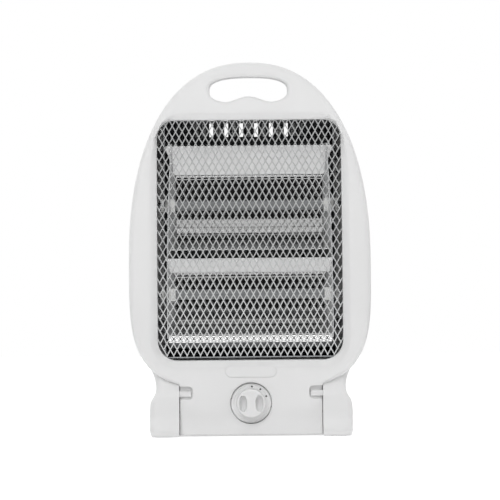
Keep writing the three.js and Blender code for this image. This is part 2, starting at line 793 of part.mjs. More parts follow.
function addTubes() {
  for (const [level, z] of Object.entries(tubeHeights)) {
    const y = tubeY(z);
    const pipe = [
      [tubeRadius - tubeWall, -tubeHalfLength],
      [tubeRadius, -tubeHalfLength],
      [tubeRadius, tubeHalfLength],
      [tubeRadius - tubeWall, tubeHalfLength],
      [tubeRadius - tubeWall, -tubeHalfLength],
    ];
    add(`quartz_tube_${level}`, "quartz", turned(pipe, [1, 0, 0], [0, y, z]));
    add(`filament_${level}`, "filament", bar([-coilHalfLength, y, z], [coilHalfLength, y, z], coilRadius, 8));
    for (const [hand, side] of [["left", -1], ["right", 1]]) {
      const inside = side * (capInnerX - 5);
      const socket = bar([inside, y, z], [side * (tubeHalfLength + fit), y, z], tubeRadius + fit, 16);
      const pinHole = bar([inside, y, z], [side * (capOuterX + 5), y, z], pinRadius + fit, 8);
      add(`ceramic_block_${level}_${hand}`, "ceramic", cut(capSpace(side, z, 0), socket, pinHole));
      const pin = bar([side * (coilHalfLength + fit), y, z], [side * (capOuterX + 2), y, z], pinRadius, 8);
      const [x0, x1] = [side * (capOuterX + 1), side * bladeEndX].sort((a, b) => a - b);
      const halfThick = bladeThickness / 2;
      const halfWide = bladeWidth / 2;
      const blade = block(x0, x1, y - halfThick, y + halfThick, z - halfWide, z + halfWide);
      add(`tube_pin_${level}_${hand}`, "steel", join(pin, blade));
    }
  }
}

function addControls() {
  const dial = [
    [shaftRadius + 1.2, 0],
    [dialRadius, 0],
    [dialRadius, dialThickness],
    [shaftRadius + 1.2, dialThickness],
    [shaftRadius + 1.2, 0],
  ];
  add("dial_plate", "casing", turned(dial, [0, 1, 0], [0, dialFront, dialHeight], 32));

  const knobBack = dialFront - fit;
  const knobProfile = [
    [0, 0],
    [knobRadius, 0],
    [knobRadius - 0.4, -knobDepth + 2.5],
    [knobRadius - 1.2, -knobDepth + 0.8],
    [knobRadius - 3, -knobDepth],
    [0, -knobDepth],
  ];
  const scoops = [-1, 1].map((side) => {
    const ball = new THREE.SphereGeometry(1, 14, 10);
    return ball.scale(...scoopHalfSize).translate(side * scoopX, knobBack - knobDepth, dialHeight);
  });
  const boreEnd = knobBack - knobBoreDepth;
  const bore = bar([0, knobBack + 1, dialHeight], [0, boreEnd, dialHeight], shaftRadius + fit, 12);
  const knobBody = turned(knobProfile, [0, 1, 0], [0, knobBack, dialHeight], 28);
  add("knob", "casing", cut(knobBody, ...scoops, bore));

  const [width, , height] = switchSize;
  const shaftEnd = switchFront + shaftEngagement;
  add("switch_shaft", "steel", bar([0, boreEnd + fit, dialHeight], [0, shaftEnd, dialHeight], shaftRadius));
  const [low, high] = [dialHeight - height / 2, dialHeight + height / 2];
  const body = block(-width / 2, width / 2, switchFront, switchBack, low, high);
  const blades = [];
  for (const x of [-6, 6]) {
    for (const rise of [-6, 6]) {
      const z = dialHeight + rise;
      blades.push(block(x - 0.4, x + 0.4, switchBack - 1, switchBack + 7, z - 3, z + 3));
    }
  }
  const socket = bar([0, switchFront - 5, dialHeight], [0, shaftEnd + fit, dialHeight], shaftRadius + fit);
  add("rotary_switch", "darkPlastic", cut(join(body, ...blades), socket));

  const slope = Math.atan(-(badgeHeight - frontArcHeight) / frontArcRadius);
  const end = badgeHalfHeight;
  const pill = roundedBar(badgeHalfLength, -end, end, end, end);
  const badge = prism(pill, -badgeThickness, 0);
  badge.rotateX(slope).translate(0, frontFace(badgeHeight) - fit, badgeHeight);
  add("badge_plate", "casing", badge);
}

function addTipSwitch() {
  const place = [plungerX, plungerY, 0];
  const guide = [
    [plungerRadius + 0.4, basePlateTop + fit],
    [guideRadius, basePlateTop + fit],
    [guideRadius, guideTop],
    [stemRadius + 0.5, guideTop],
    [stemRadius + 0.5, guideTop - 2],
    [plungerRadius + 0.4, guideTop - 2],
    [plungerRadius + 0.4, basePlateTop + fit],
  ];
  const bracketX = plungerX + 2 + microswitchSize[0] + fit;
  const plunger = [
    [0, fit],
    [plungerRadius - 0.6, fit],
    [plungerRadius, 1],
    [plungerRadius, plungerShoulder],
    [stemRadius, plungerShoulder],
    [stemRadius, stemTop],
    [0, stemTop],
  ];
  add("tip_plunger", "lightPlastic", turned(plunger, [0, 0, 1], place));

  const springBottom = plungerShoulder + springWire + fit;
  const springTop = guideTop - 2 - springWire - fit;
  const turnSteps = 10;
  const helix = Array.from({ length: springTurns * turnSteps + 1 }, (_, i) => {
    const angle = (2 * Math.PI * i) / turnSteps;
    const z = springBottom + ((springTop - springBottom) * i) / (springTurns * turnSteps);
    return [plungerX + springRadius * Math.cos(angle), plungerY + springRadius * Math.sin(angle), z];
  });
  add("plunger_spring", "steel", wire(helix, springWire, 1, 5));

  const leverBottom = stemTop + leverGap;
  const hingeX = plungerX + leverLength;
  const halfDeep = microswitchSize[1] / 2;
  add("switch_lever", "steel",
    block(plungerX - 2, hingeX, plungerY - 2, plungerY + 2, leverBottom, leverBottom + 0.5));
  const bodyBottom = leverBottom + 0.5 + leverGap;
  const switchX = bracketX - fit;
  add("microswitch", "darkPlastic", block(switchX - microswitchSize[0], switchX, plungerY - halfDeep,
    plungerY + halfDeep, bodyBottom, bodyBottom + microswitchSize[2]));
  const arm = block(bracketX, bracketX + 2, plungerY - halfDeep, plungerY + halfDeep,
    basePlateTop + fit, bodyBottom + microswitchSize[2]);
  const foot = block(plungerX + guideRadius - 1, bracketX + 1, plungerY - 3, plungerY + 3,
    basePlateTop + fit, basePlateTop + 3);
  add("plunger_guide", "darkPlastic", join(turned(guide, [0, 0, 1], place), arm, foot));
}

function addBase() {
  const margin = wall + basePlateGap;
  const halfWidth = panelHalfWidth - margin;
  const [front, rear] = [frontFace(basePlateTop) + margin, rearFace(basePlateTop) - margin];
  const plate = block(-halfWidth, halfWidth, front, rear, basePlateBottom, basePlateTop);
  const plungerHole = bar([plungerX, plungerY, 0], [plungerX, plungerY, 10], plungerRadius + 0.4, 16);
  const screwHoles = baseScrewPlaces.map(([x, y]) => bar([x, y, 0], [x, y, 10], pilotRadius, 8));
  add("base_plate", "lightPlastic", cut(plate, plungerHole, ...screwHoles));
  baseScrewPlaces.forEach(([x, y], i) => {
    addScrew(`base_screw_${i + 1}`, [x, y, basePlateBottom - fit], [0, 0, 1], 10);
  });
  add("terminal_block", "lightPlastic", block(-30, 0, 22, 34, basePlateTop + fit, basePlateTop + 12));
  const cutoutProfile = [[0, 0], [8, 0], [8, 3], [6.5, 3], [6.5, 7], [0, 7]];
  const cutoutPlace = [0, shieldBackY + sheet + fit, upperMouth[0]];
  add("thermal_cutout", "steel", turned(cutoutProfile, [0, 1, 0], cutoutPlace));
}

function addFeet() {
  const ringAt = ([z, width, halfDepth]) => {
    const outerX = footInnerX + width;
    const ring = [[footInnerX, -halfDepth, z]];
    for (const end of [-1, 1]) {
      for (let i = 0; i <= 3; i += 1) {
        const angle = (Math.PI / 2) * (end < 0 ? 1 - i / 3 : i / 3);
        const x = outerX - footCornerRadius * (1 - Math.cos(angle));
        const y = end * (halfDepth - footCornerRadius * (1 - Math.sin(angle)));
        ring.push([x, y, z]);
      }
    }
    ring.push([footInnerX, halfDepth, z]);
    return ring;
  };
  const fan = (count) => Array.from({ length: count - 2 }, (_, i) => [0, i + 1, i + 2]);
  const [cavityStart, cavityEnd, cavityHalf, cavityTop] = footCavity;
  const [cavityX0, cavityX1] = [footInnerX + cavityStart, footInnerX + cavityEnd];
  const cavity = cut(
    block(cavityX0, cavityX1, -cavityHalf, cavityHalf, -5, cavityTop),
    ...footScrewYs.map((y) => block(cavityX0 - 1, cavityX0 + 12, y - 5, y + 5, footScrewHeight - 5, 60)),
  );
  const solesOf = (gap) => [-1, 1].map((end) => {
    const ys = soleYs.map((y) => end * y).sort((a, b) => a - b);
    return block(soleXs[0] - gap, soleXs[1] + gap, ys[0] - gap, ys[1] + gap, 0, soleThickness + gap);
  });
  const casingOutline = casingRing(-fit, 0, () => 0).map(([x, , z]) => [x, z]);
  const casingSpace = prism(casingOutline, -80, 80);
  const pilots = footScrewYs.map((y) =>
    bar([footInnerX - 5, y, footScrewHeight], [footInnerX + 13, y, footScrewHeight], pilotRadius, 8),
  );
  const tabFront = frontFace(tabHeights[0]) + 1;
  const tab = block(...tabXs, tabFront, tabFront + notchDepth - 2, ...tabHeights);
  const body = ringSkin(footRows.map(ringAt), fan);
  const trimmed = cut(body, casingSpace, cavity, ...solesOf(fit), ...pilots);
  const right = join(trimmed, tab);
  for (const [name, side] of [["left", -1], ["right", 1]]) {
    const mirror = (geometry) => {
      return outward(merged(geometry).scale(side, 1, 1));
    };
    add(`foot_${name}`, "casing", mirror(right));
    solesOf(0).forEach((sole, i) => {
      add(`sole_${name}_${i === 0 ? "front" : "rear"}`, "rubber", mirror(sole));
    });
    footScrewYs.forEach((y, i) => {
      const seat = [side * (panelHalfWidth - wall - fit), y, footScrewHeight];
      addScrew(`foot_screw_${name}_${i + 1}`, seat, [side, 0, 0], 14);
    });
  }
}

// Leads from the tube ends, down beside the box behind its ears, into the base.
function addLeads() {
  const start = bladeEndX + 3 * fit;
  const { upper: upperHeight, lower: lowerHeight } = tubeHeights;
  const upperY = tubeY(upperHeight);
  const lowerY = tubeY(lowerHeight);
  const alleyX = shieldHalfWidth + 11;
  const upper = (side) => [
    [side * start, upperY, upperHeight],
    [side * (alleyX + 4), upperY + 2, upperHeight - 3],
    [side * (alleyX + 3), 6, upperHeight - 17],
    [side * alleyX, 16, upperHeight - 35],
    [side * alleyX, 16, 120],
    [side * (alleyX - 3), 16, 90],
    [side * (alleyX - 16), 16, 69],
    [side * (panelHalfWidth - 6.5), 16, 57],
  ];
  const lower = (side) => [
    [side * start, lowerY, lowerHeight],
    [side * (alleyX + 4), lowerY + 2, lowerHeight - 3],
    [side * (alleyX + 4), -6, lowerHeight - 12],
    [side * alleyX, 8, lowerHeight - 22],
    [side * (alleyX - 2), 8, 100],
    [side * (alleyX - 6), 8, 82],
    [side * (alleyX - 18), 8, 69],
    [side * (panelHalfWidth - 8.5), 8, 58],
  ];
  const bladeY = switchBack + 8;
  const turnX = panelHalfWidth - 13.5;
  const leads = {
    lead_upper_right: [...upper(1), [40, 10, 55], [16, -6, 50], [6, bladeY, 42]],
    lead_lower_right: [...lower(1), [turnX, 0, 46], [44, -8, 32], [16, -8, 28], [6, bladeY, 28]],
    lead_upper_left: [...upper(-1), [-turnX, 20, 44], [-44, 26, 30], [-25, 28, basePlateTop + 14]],
    lead_lower_left: [...lower(-1), [-turnX, 0, 48], [-44, -8, 34], [-14, -8, 38], [-6, bladeY, 40]],
  };
  for (const [name, points] of Object.entries(leads)) {
    add(name, "darkPlastic", wire(points, wireRadius, 3));
  }
}

addCasing();
addGuard();
addHeaterBox();
addTubes();
addControls();
addTipSwitch();
addBase();
addFeet();
addLeads();

export default heater;
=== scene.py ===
# Two-bar quartz heater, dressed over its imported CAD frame. Sizes are in millimetres until a mesh is made.
import json
from functools import partial
from math import asin, cos, hypot, pi, radians, sin, sqrt, tan

import bmesh
import bpy
import numpy as np
from mathutils import Matrix, Vector
from mathutils.geometry import delaunay_2d_cdt


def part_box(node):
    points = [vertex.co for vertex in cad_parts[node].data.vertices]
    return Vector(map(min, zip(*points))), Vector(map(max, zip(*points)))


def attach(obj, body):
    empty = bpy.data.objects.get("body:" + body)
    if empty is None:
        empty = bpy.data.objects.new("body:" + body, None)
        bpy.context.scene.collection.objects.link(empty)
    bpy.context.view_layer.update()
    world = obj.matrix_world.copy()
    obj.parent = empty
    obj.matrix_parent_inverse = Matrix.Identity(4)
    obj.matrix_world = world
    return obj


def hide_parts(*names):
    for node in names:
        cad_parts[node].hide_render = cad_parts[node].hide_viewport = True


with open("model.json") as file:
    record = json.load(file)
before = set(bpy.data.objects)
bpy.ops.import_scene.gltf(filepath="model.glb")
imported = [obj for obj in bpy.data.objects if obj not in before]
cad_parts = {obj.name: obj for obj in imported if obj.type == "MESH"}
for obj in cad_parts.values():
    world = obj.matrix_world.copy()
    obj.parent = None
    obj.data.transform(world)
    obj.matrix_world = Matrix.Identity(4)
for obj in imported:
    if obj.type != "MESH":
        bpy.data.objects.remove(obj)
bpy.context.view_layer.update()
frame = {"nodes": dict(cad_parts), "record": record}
print("frame loaded:", len(frame["nodes"]), "nodes")

photo = {
    "mmPerPixel": 1.015,
    "pixels": 500,
    "distance": 4000,  # from the lens to the front of the casing
    "casingFront": -45,
    "middleHeight": 189.1,
    "middleX": 0.3,
    "lean": 0.55,  # degrees that the picture is turned
    "sensor": 36,
}


def newObject(name, data):
    made = bpy.data.objects.new(name, data)
    bpy.context.scene.collection.objects.link(made)
    return made


def objectFrom(name, bm):
    mesh = bpy.data.meshes.new(name)
    bm.to_mesh(mesh)
    bm.free()
    return newObject(name, mesh)


def makeCamera():
    camera = newObject("camera", bpy.data.cameras.new("camera"))
    camera.data.sensor_width = photo["sensor"]
    camera.data.lens = photo["sensor"] * photo["distance"] / (photo["pixels"] * photo["mmPerPixel"])
    lensY = photo["casingFront"] - photo["distance"]
    camera.location = Vector((photo["middleX"], lensY, photo["middleHeight"])) / 1000
    camera.rotation_euler = (pi / 2, radians(photo["lean"]), 0)
    bpy.context.scene.camera = camera


makeCamera()


def linear(hexColour):
    parts = [int(hexColour[i:i + 2], 16) / 255 for i in (1, 3, 5)]
    return [c / 12.92 if c <= 0.04045 else ((c + 0.055) / 1.055) ** 2.4 for c in parts] + [1]


# A value is a plain one, a socket, or a node that stands for its first output.
def addNode(tree, kind, values=None, **settings):
    node = tree.nodes.new(kind)
    for name, value in settings.items():
        setattr(node, name, value)
    for socket, value in (values or {}).items():
        if isinstance(value, bpy.types.Node):
            value = value.outputs[0]
        if isinstance(value, bpy.types.NodeSocket):
            tree.links.new(value, node.inputs[socket])
        else:
            node.inputs[socket].default_value = value
    return node


def calc(tree, operation, *values):
    return addNode(tree, "ShaderNodeMath", dict(enumerate(values)), operation=operation).outputs[0]


def ranged(tree, value, start, end, low, high):
    values = {"Value": value, "From Min": start, "From Max": end, "To Min": low, "To Max": high}
    return addNode(tree, "ShaderNodeMapRange", values).outputs[0]


def mixColours(tree, share, first, second):
    colours = {"Factor": share, 6: linear(first), 7: linear(second)}
    return addNode(tree, "ShaderNodeMix", colours, data_type="RGBA").outputs[2]


def coordinates(tree, kind):
    return addNode(tree, "ShaderNodeTexCoord").outputs[kind]


def split(tree, vector):
    return addNode(tree, "ShaderNodeSeparateXYZ", {0: vector}).outputs


studio = {
    "roomLight": (0.14, 0.3),  # what the pale room gives from below and from above
    "backLight": 0.75,  # and what the sides and the back add to that
    "backSpread": (-0.5, 0.5),  # directions in y over which that comes in
    "whiteBehind": (-0.1, 0.4),  # directions in y and in z over which the mirrored room turns white
    "whiteOverhead": (0.45, 0.75),
    "darkSide": 0.012,  # what metal mirrors of the dim room behind the camera
    "lamps": {  # place and size in metres, and watts
        "key": ((-0.5, -2.2, 1.4), 1.4, 25),
        "fill": ((1.6, -1.2, 0.5), 1.0, 3),
        "top": ((0, -0.7, 2.2), 1.4, 3),
    },
    "lampsAim": (0, 0, 0.2),
    "floor": "#f4f4f4",
    "floorHalf": 3,
    "floorLift": 0.62,
    # painted reflection: how brightly the floor glows in metal mirrors
    "paintedMirrorGlow": 1.0,
    "paintedMirrorReach": (0.35, 0.8),  # how far from the heater the floor's painted reflection in metal fades to dark
}


# Which rays come from the camera, which from a mirror or a glass, and which from any of them.
def sightRays(tree):
    rays = addNode(tree, "ShaderNodeLightPath").outputs
    mirrored = calc(tree, "MAXIMUM", rays["Is Glossy Ray"], rays["Is Transmission Ray"])
    return rays["Is Camera Ray"], mirrored, calc(tree, "MAXIMUM", rays["Is Camera Ray"], mirrored)


def makeStudio():
    world = bpy.data.worlds.new("pale room")
    bpy.context.scene.world = world
    world.use_nodes = True
    tree = world.node_tree
    tree.nodes.clear()
    fromCamera, _, shown = sightRays(tree)
    # The room is white behind the heater and overhead, and dim where the camera stands.
    way = split(tree, coordinates(tree, "Generated"))
    white = calc(tree, "MAXIMUM", ranged(tree, way["Y"], *studio["whiteBehind"], 0, 1),
                 ranged(tree, way["Z"], *studio["whiteOverhead"], 0, 1))
    seen = ranged(tree, calc(tree, "MAXIMUM", white, fromCamera), 0, 1, studio["darkSide"], 1)
    room = calc(tree, "ADD", ranged(tree, way["Z"], -1, 1, *studio["roomLight"]),
                ranged(tree, way["Y"], *studio["backSpread"], 0, studio["backLight"]))
    glow, back = (addNode(tree, "ShaderNodeBackground", {"Color": (1, 1, 1, 1), "Strength": strength})
                  for strength in (room, seen))
    mixed = addNode(tree, "ShaderNodeMixShader", {0: shown, 1: glow, 2: back})
    addNode(tree, "ShaderNodeOutputWorld", {"Surface": mixed})
    for name, (place, size, watts) in studio["lamps"].items():
        lamp = newObject(name, bpy.data.lights.new(name, "AREA"))
        lamp.data.size = size
        lamp.data.energy = watts
        lamp.location = place
        lamp.visible_glossy = False  # metal mirrors the room, not the lamps
        aim = Vector(studio["lampsAim"]) - Vector(place)
        lamp.rotation_euler = aim.to_track_quat("-Z", "Y").to_euler()


def makeFloor():
    bm = bmesh.new()
    bmesh.ops.create_grid(bm, x_segments=1, y_segments=1, size=studio["floorHalf"])
    floor = objectFrom("floor", bm)
    material = bpy.data.materials.new("white paper sweep")  # matt, glows to white and keeps the shadow; what metal mirrors of it is a painted reflection
    material.use_nodes = True
    tree = material.node_tree
    tree.nodes.clear()
    _, mirrored, shown = sightRays(tree)
    # Painted reflection: in metal mirrors the paper glows brighter round the heater than it does straight on,
    # and is painted dark further away.
    away = addNode(tree, "ShaderNodeVectorMath", {0: coordinates(tree, "Object")}, operation="LENGTH")
    paintedMirrorFade = ranged(tree, away.outputs["Value"], *studio["paintedMirrorReach"], 0, 1)
    paintedMirrorShare = calc(tree, "SUBTRACT", 1, calc(tree, "MULTIPLY", paintedMirrorFade, mirrored))
    # painted reflection: the glow is stronger for mirror rays than for camera rays
    level = ranged(tree, mirrored, 0, 1, studio["floorLift"], studio["paintedMirrorGlow"])
    lift = calc(tree, "MULTIPLY", calc(tree, "MULTIPLY", shown, level), paintedMirrorShare)
    # painted reflection: the paper's colour goes black in mirrors far from the heater
    colour = mixColours(tree, paintedMirrorShare, "#000000", studio["floor"])
    paper = addNode(tree, "ShaderNodeBsdfDiffuse", {"Color": colour})
    glow = addNode(tree, "ShaderNodeEmission", {"Strength": lift})
    both = addNode(tree, "ShaderNodeAddShader", {0: paper, 1: glow})
    addNode(tree, "ShaderNodeOutputMaterial", {"Surface": both})
    floor.data.materials.append(material)


makeStudio()
makeFloor()
scene = bpy.context.scene
scene.view_settings.view_transform = "Standard"
print("camera and studio made")


def newMaterial(name, colour, rough, metal=0, **sockets):
    material = bpy.data.materials.new(name)
    material.use_nodes = True
    tree = material.node_tree
    shader = tree.nodes["Principled BSDF"]
    values = {"Base_Color": linear(colour), "Roughness": rough, "Metallic": metal, **sockets}
    for socket, value in values.items():
        shader.inputs[socket.replace("_", " ")].default_value = value
    return material, tree, shader, coordinates(tree, "Object")


# Noise in patches: a patch is its size in mm, or its size, its detail and how it is stretched.
def noise(tree, place, patch):
    size, detail, stretch = patch if isinstance(patch, tuple) else (patch, 2, (1, 1, 1))
    spread = addNode(tree, "ShaderNodeMapping", {"Vector": place, "Scale": stretch})
    values = {"Vector": spread, "Scale": 1000 / size, "Detail": detail}
    return addNode(tree, "ShaderNodeTexNoise", values).outputs["Fac"]


def roughen(tree, shader, place, patch, depthMm, strength=1):
    values = {"Height": noise(tree, place, patch), "Distance": depthMm / 1000, "Strength": strength}
    bump = addNode(tree, "ShaderNodeBump", values)
    tree.links.new(bump.outputs[0], shader.inputs["Normal"])


# The usual surface: each of tints, roughs and skin starts with its patch; skin goes on with a depth in mm.
def surface(name, colour, rough, metal, tints, roughs, skin=None, **sockets):
    material, tree, shader, place = newMaterial(name, colour, rough, metal, **sockets)
    patch, first, second = tints
    tree.links.new(mixColours(tree, noise(tree, place, patch), first, second), shader.inputs["Base Color"])
    patch, low, high = roughs
    usual = (0.3, 0.7)  # where most of a noise lies
    tree.links.new(ranged(tree, noise(tree, place, patch), *usual, low, high), shader.inputs["Roughness"])
    if skin:
        roughen(tree, shader, place, *skin)
    return material


def mouldedWhite():
    # Injection-moulded ABS, white, semi-gloss: a soft sheen over a very faint spark-eroded grain.
    return surface("moulded white ABS", "#eeeeee", 0.36, 0, (60, "#ececec", "#f1f1f1"), (9, 0.32, 0.42),
                   (0.9, 0.012), IOR=1.53, Subsurface_Weight=0.2, Subsurface_Scale=0.002,
                   Subsurface_Radius=(1, 1, 1))


def mouldedBlack():
    # Glass-filled nylon, moulded: dull black with a slightly streaky skin.
    return surface("moulded black nylon", "#232427", 0.5, 0, (5, "#1d1e20", "#2b2c2f"), (2, 0.42, 0.62),
                   (0.6, 0.02))


def mouldedPale():
    # Polypropylene, natural grey-white: waxy, with a broad soft highlight.
    return surface("moulded pale polypropylene", "#d3d3cc", 0.5, 0, (14, "#cdcdc6", "#d9d9d3"),
                   (3, 0.42, 0.58), (0.8, 0.02))


def platedWire():
    # Expanded mild steel, bright nickel plated: the rolled skin leaves each strand a little different.
    return surface("nickel-plated expanded steel", "#cfd0d0", 0.34, 0.25, (4, "#c4c5c5", "#dadbdb"),
                   (1.5, 0.34, 0.46), (0.5, 0.02, 0.5))


satin = {
    "bands": ((266, 299), (166, 183)),  # heights of the brushed wings above each trough
    "mirrorRough": (0.04, 0.08), "satinRough": (0.3, 0.38),
    "rolled": (2.4, 3, (0.04, 1, 1)), "waves": (60, 1, (0.5, 1, 1)),
}


def polishedSheet():
    # Bright-rolled aluminium: nearly a mirror in the trough, brushed satin on the wing above each trough.
    material, tree, shader, place = newMaterial("bright-rolled aluminium", "#d8d8d8", 0.16, 1)
    brushed = 0
    for low, high in satin["bands"]:
        away = calc(tree, "SUBTRACT", split(tree, place)["Z"], (low + high) / 2000)
        inBand = calc(tree, "LESS_THAN", calc(tree, "ABSOLUTE", away), (high - low) / 2000)
        brushed = calc(tree, "MAXIMUM", brushed, inBand)
    rolled = noise(tree, place, satin["rolled"])
    plain, wing = (ranged(tree, rolled, 0, 1, *satin[name]) for name in ("mirrorRough", "satinRough"))
    rough = addNode(tree, "ShaderNodeMix", {"Factor": brushed, 2: plain, 3: wing})
    tree.links.new(rough.outputs[0], shader.inputs["Roughness"])
    roughen(tree, shader, place, satin["waves"], 0.3, 0.15)
    return material


def millSheet():
    # Aluminium as it leaves the mill: pale, matt, with faint rolling lines.
    lines = (0.8, 3, (1, 0.06, 1))
    return surface("mill-finish aluminium", "#e4e5e6", 0.42, 0.15, (12, "#dcddde", "#ebecec"),
                   (lines, 0.34, 0.5), (lines, 0.015))


def zincSheet():
    # Electro-galvanised steel: cool grey with cloudy patches and fine rolling lines.
    return surface("galvanised steel", "#96989a", 0.32, 1, (8, "#8a8c8e", "#a2a4a6"), (3, 0.24, 0.38),
                   ((0.7, 2, (0.1, 1, 1)), 0.02))


def milkyQuartz():
    # Fused quartz drawn as tube, milky from fine bubbles: it glows softly and its skin is glassy.
    return surface("milky quartz", "#c2c4c5", 0.12, 0, ((2.5, 2, (0.08, 1, 1)), "#b9bbbd", "#cfd1d2"),
                   (6, 0.08, 0.2), IOR=1.46, Transmission_Weight=0.55)


def resistanceWire():
    # Iron-chromium-aluminium wire, air-fired: a dark grey oxide skin.
    return surface("fired resistance wire", "#5a5550", 0.55, 0.8, (1.2, "#4c4844", "#6a645d"),
                   (1, 0.45, 0.65))


def steatite():
    # Steatite ceramic, pressed and fired unglazed: chalky cream with fine pores.
    return surface("fired steatite", "#f2f2f0", 0.75, 0, (3, "#ececea", "#f7f7f5"), (1.2, 0.66, 0.86),
                   (0.35, 0.05))


def mouldedRubber():
    # Synthetic rubber, compression moulded: dull near-black with a fine tooth.
    return surface("moulded black rubber", "#242424", 0.85, 0, (4, "#1f1f1f", "#2b2b2a"), (1, 0.78, 0.92),
                   (0.4, 0.04))


materials = {
    "casing": mouldedWhite(),
    "dark_plastic": mouldedBlack(),
    "light_plastic": mouldedPale(),
    "guard_wire": platedWire(),
    "bright_reflector": polishedSheet(),
    "end_plate": millSheet(),
    "steel": zincSheet(),
    "quartz": milkyQuartz(),
    "filament": resistanceWire(),
    "ceramic": steatite(),
    "rubber": mouldedRubber(),
}

for part in frame["record"]["subparts"]:
    for slot in frame["nodes"][part["node"]].material_slots:
        slot.material = materials["end_plate" if "side_plate" in part["node"] else part["material_slot"]]
print("materials made:", len(materials))


def markSharp(mesh, limit):
    bm = bmesh.new()
    bm.from_mesh(mesh)
    for face in bm.faces:
        face.smooth = True
    for edge in bm.edges:
        edge.smooth = len(edge.link_faces) == 2 and edge.calc_face_angle(0) < radians(limit)
    bm.to_mesh(mesh)
    bm.free()


# Joins points that lie together and turns all faces outwards.
def closeUp(bm, distance=0.005):
    bmesh.ops.remove_doubles(bm, verts=bm.verts, dist=distance)
    bmesh.ops.recalc_face_normals(bm, faces=bm.faces)


def pieceFrom(name, bm):
    bmesh.ops.remove_doubles(bm, verts=bm.verts, dist=0.005)
    bmesh.ops.scale(bm, vec=(0.001, 0.001, 0.001), verts=bm.verts)
    return objectFrom(name, bm)


def applied(piece):
    view = bpy.context.evaluated_depsgraph_get()
    mesh = bpy.data.meshes.new_from_object(piece.evaluated_get(view))
    piece.modifiers.clear()
    piece.data = mesh


def cutAway(piece, *tools):
    for tool in tools:
        modifier = piece.modifiers.new("cut", "BOOLEAN")
        modifier.operation = "DIFFERENCE"
        modifier.solver = "EXACT"
        modifier.object = tool
    applied(piece)
    for tool in tools:
        bpy.data.objects.remove(tool)


def thicken(piece, wallMm):
    solid = piece.modifiers.new("wall", "SOLIDIFY")
    solid.thickness = wallMm / 1000
    solid.offset = -1
    solid.use_even_offset = True
    solid.thickness_clamp = 1.0
    applied(piece)


def bevel(piece, widthMm, segments, limit=40):
    modifier = piece.modifiers.new("edges", "BEVEL")
    modifier.width = widthMm / 1000
    modifier.segments = segments
    modifier.limit_method = "ANGLE"
    modifier.angle_limit = radians(limit)
    modifier.harden_normals = False
    applied(piece)


def settle(piece, slot, body, *nodes, limit=35):
    markSharp(piece.data, limit)
    piece.data.materials.clear()
    piece.data.materials.append(materials[slot])
    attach(piece, body)
    if nodes:
        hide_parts(*nodes)


def strip(bm, first, second):
    a = [bm.verts.new(p) for p in first]
    b = [bm.verts.new(p) for p in second]
    for i in range(len(a)):
        j = (i + 1) % len(a)
        bm.faces.new((a[i], a[j], b[j], b[i]))


def lace(bm, rings):
    for first, second in zip(rings, rings[1:]):
        strip(bm, first, second)


def cap(bm, ring):
    bm.faces.new([bm.verts.new(p) for p in ring])


def blockTool(x0, x1, y0, y1, z0, z1):
    bm = bmesh.new()
    bmesh.ops.create_cube(bm, size=1)
    for vert in bm.verts:
        vert.co = Vector(((x0 + x1) / 2 + vert.co.x * (x1 - x0), (y0 + y1) / 2 + vert.co.y * (y1 - y0),
                          (z0 + z1) / 2 + vert.co.z * (z1 - z0)))
    return pieceFrom("tool", bm)


def prismTool(outline, y0, y1):
    bm = bmesh.new()
    front, back = ([(x, y, z) for x, z in outline] for y in (y0, y1))
    strip(bm, front, back)
    cap(bm, front)
    cap(bm, back)
    closeUp(bm)
    return pieceFrom("tool", bm)


# Which of the points lie inside a closed loop.
def insideLoop(points, loop):
    p = np.asarray(points, float)
    a = np.asarray(loop, float)
    b = np.roll(a, -1, axis=0)
    crosses = (a[:, 1] > p[:, 1:2]) != (b[:, 1] > p[:, 1:2])
    rise = np.where(b[:, 1] == a[:, 1], 1e-9, b[:, 1] - a[:, 1])
    at = a[:, 0] + (p[:, 1:2] - a[:, 1]) * (b[:, 0] - a[:, 0]) / rise
    return (np.sum(crosses & (p[:, 0:1] < at), axis=1) % 2) == 1


# How far each point is from the nearest of the others.
def nearest(points, others):
    away = points[:, None] - others[None]
    return np.min(np.hypot(away[..., 0], away[..., 1]), axis=1)


# A sheet of small even triangles over a flat outline with holes; height gives each point its y.
def fillFace(bm, outer, holes, step, height):
    def inFace(points):
        keep = insideLoop(points, outer)
        for hole in holes:
            keep &= ~insideLoop(points, hole)
        return keep
    loops = [outer] + holes
    edges = []
    start = 0
    for loop in loops:
        edges += [(start + i, start + (i + 1) % len(loop)) for i in range(len(loop))]
        start += len(loop)
    low, high = np.min(outer, axis=0), np.max(outer, axis=0)
    flat = 0.866  # height of an even triangle, in steps
    grid = []
    for row in range(int((high[1] - low[1]) / (step * flat)) + 1):
        shift = step / 2 if row % 2 else 0
        for column in range(int((high[0] - low[0]) / step) + 1):
            grid.append((low[0] + shift + column * step, low[1] + row * step * flat))
    grid = np.array(grid)
    grid = grid[inFace(grid)]
    rim = np.array([p for loop in loops for p in loop])
    grid = grid[nearest(grid, rim) > step * 0.45]
    verts, _, faces, _, _, _ = delaunay_2d_cdt([Vector(p) for p in [*rim, *grid]], edges, [], 0, 1e-5)
    middles = np.array([np.mean([verts[i] for i in face], axis=0) for face in faces])
    made = [bm.verts.new((v.x, height(v.x, v.y), v.y)) for v in verts]
    for face, kept in zip(faces, inFace(middles)):
        if kept:
            bm.faces.new([made[i] for i in face])


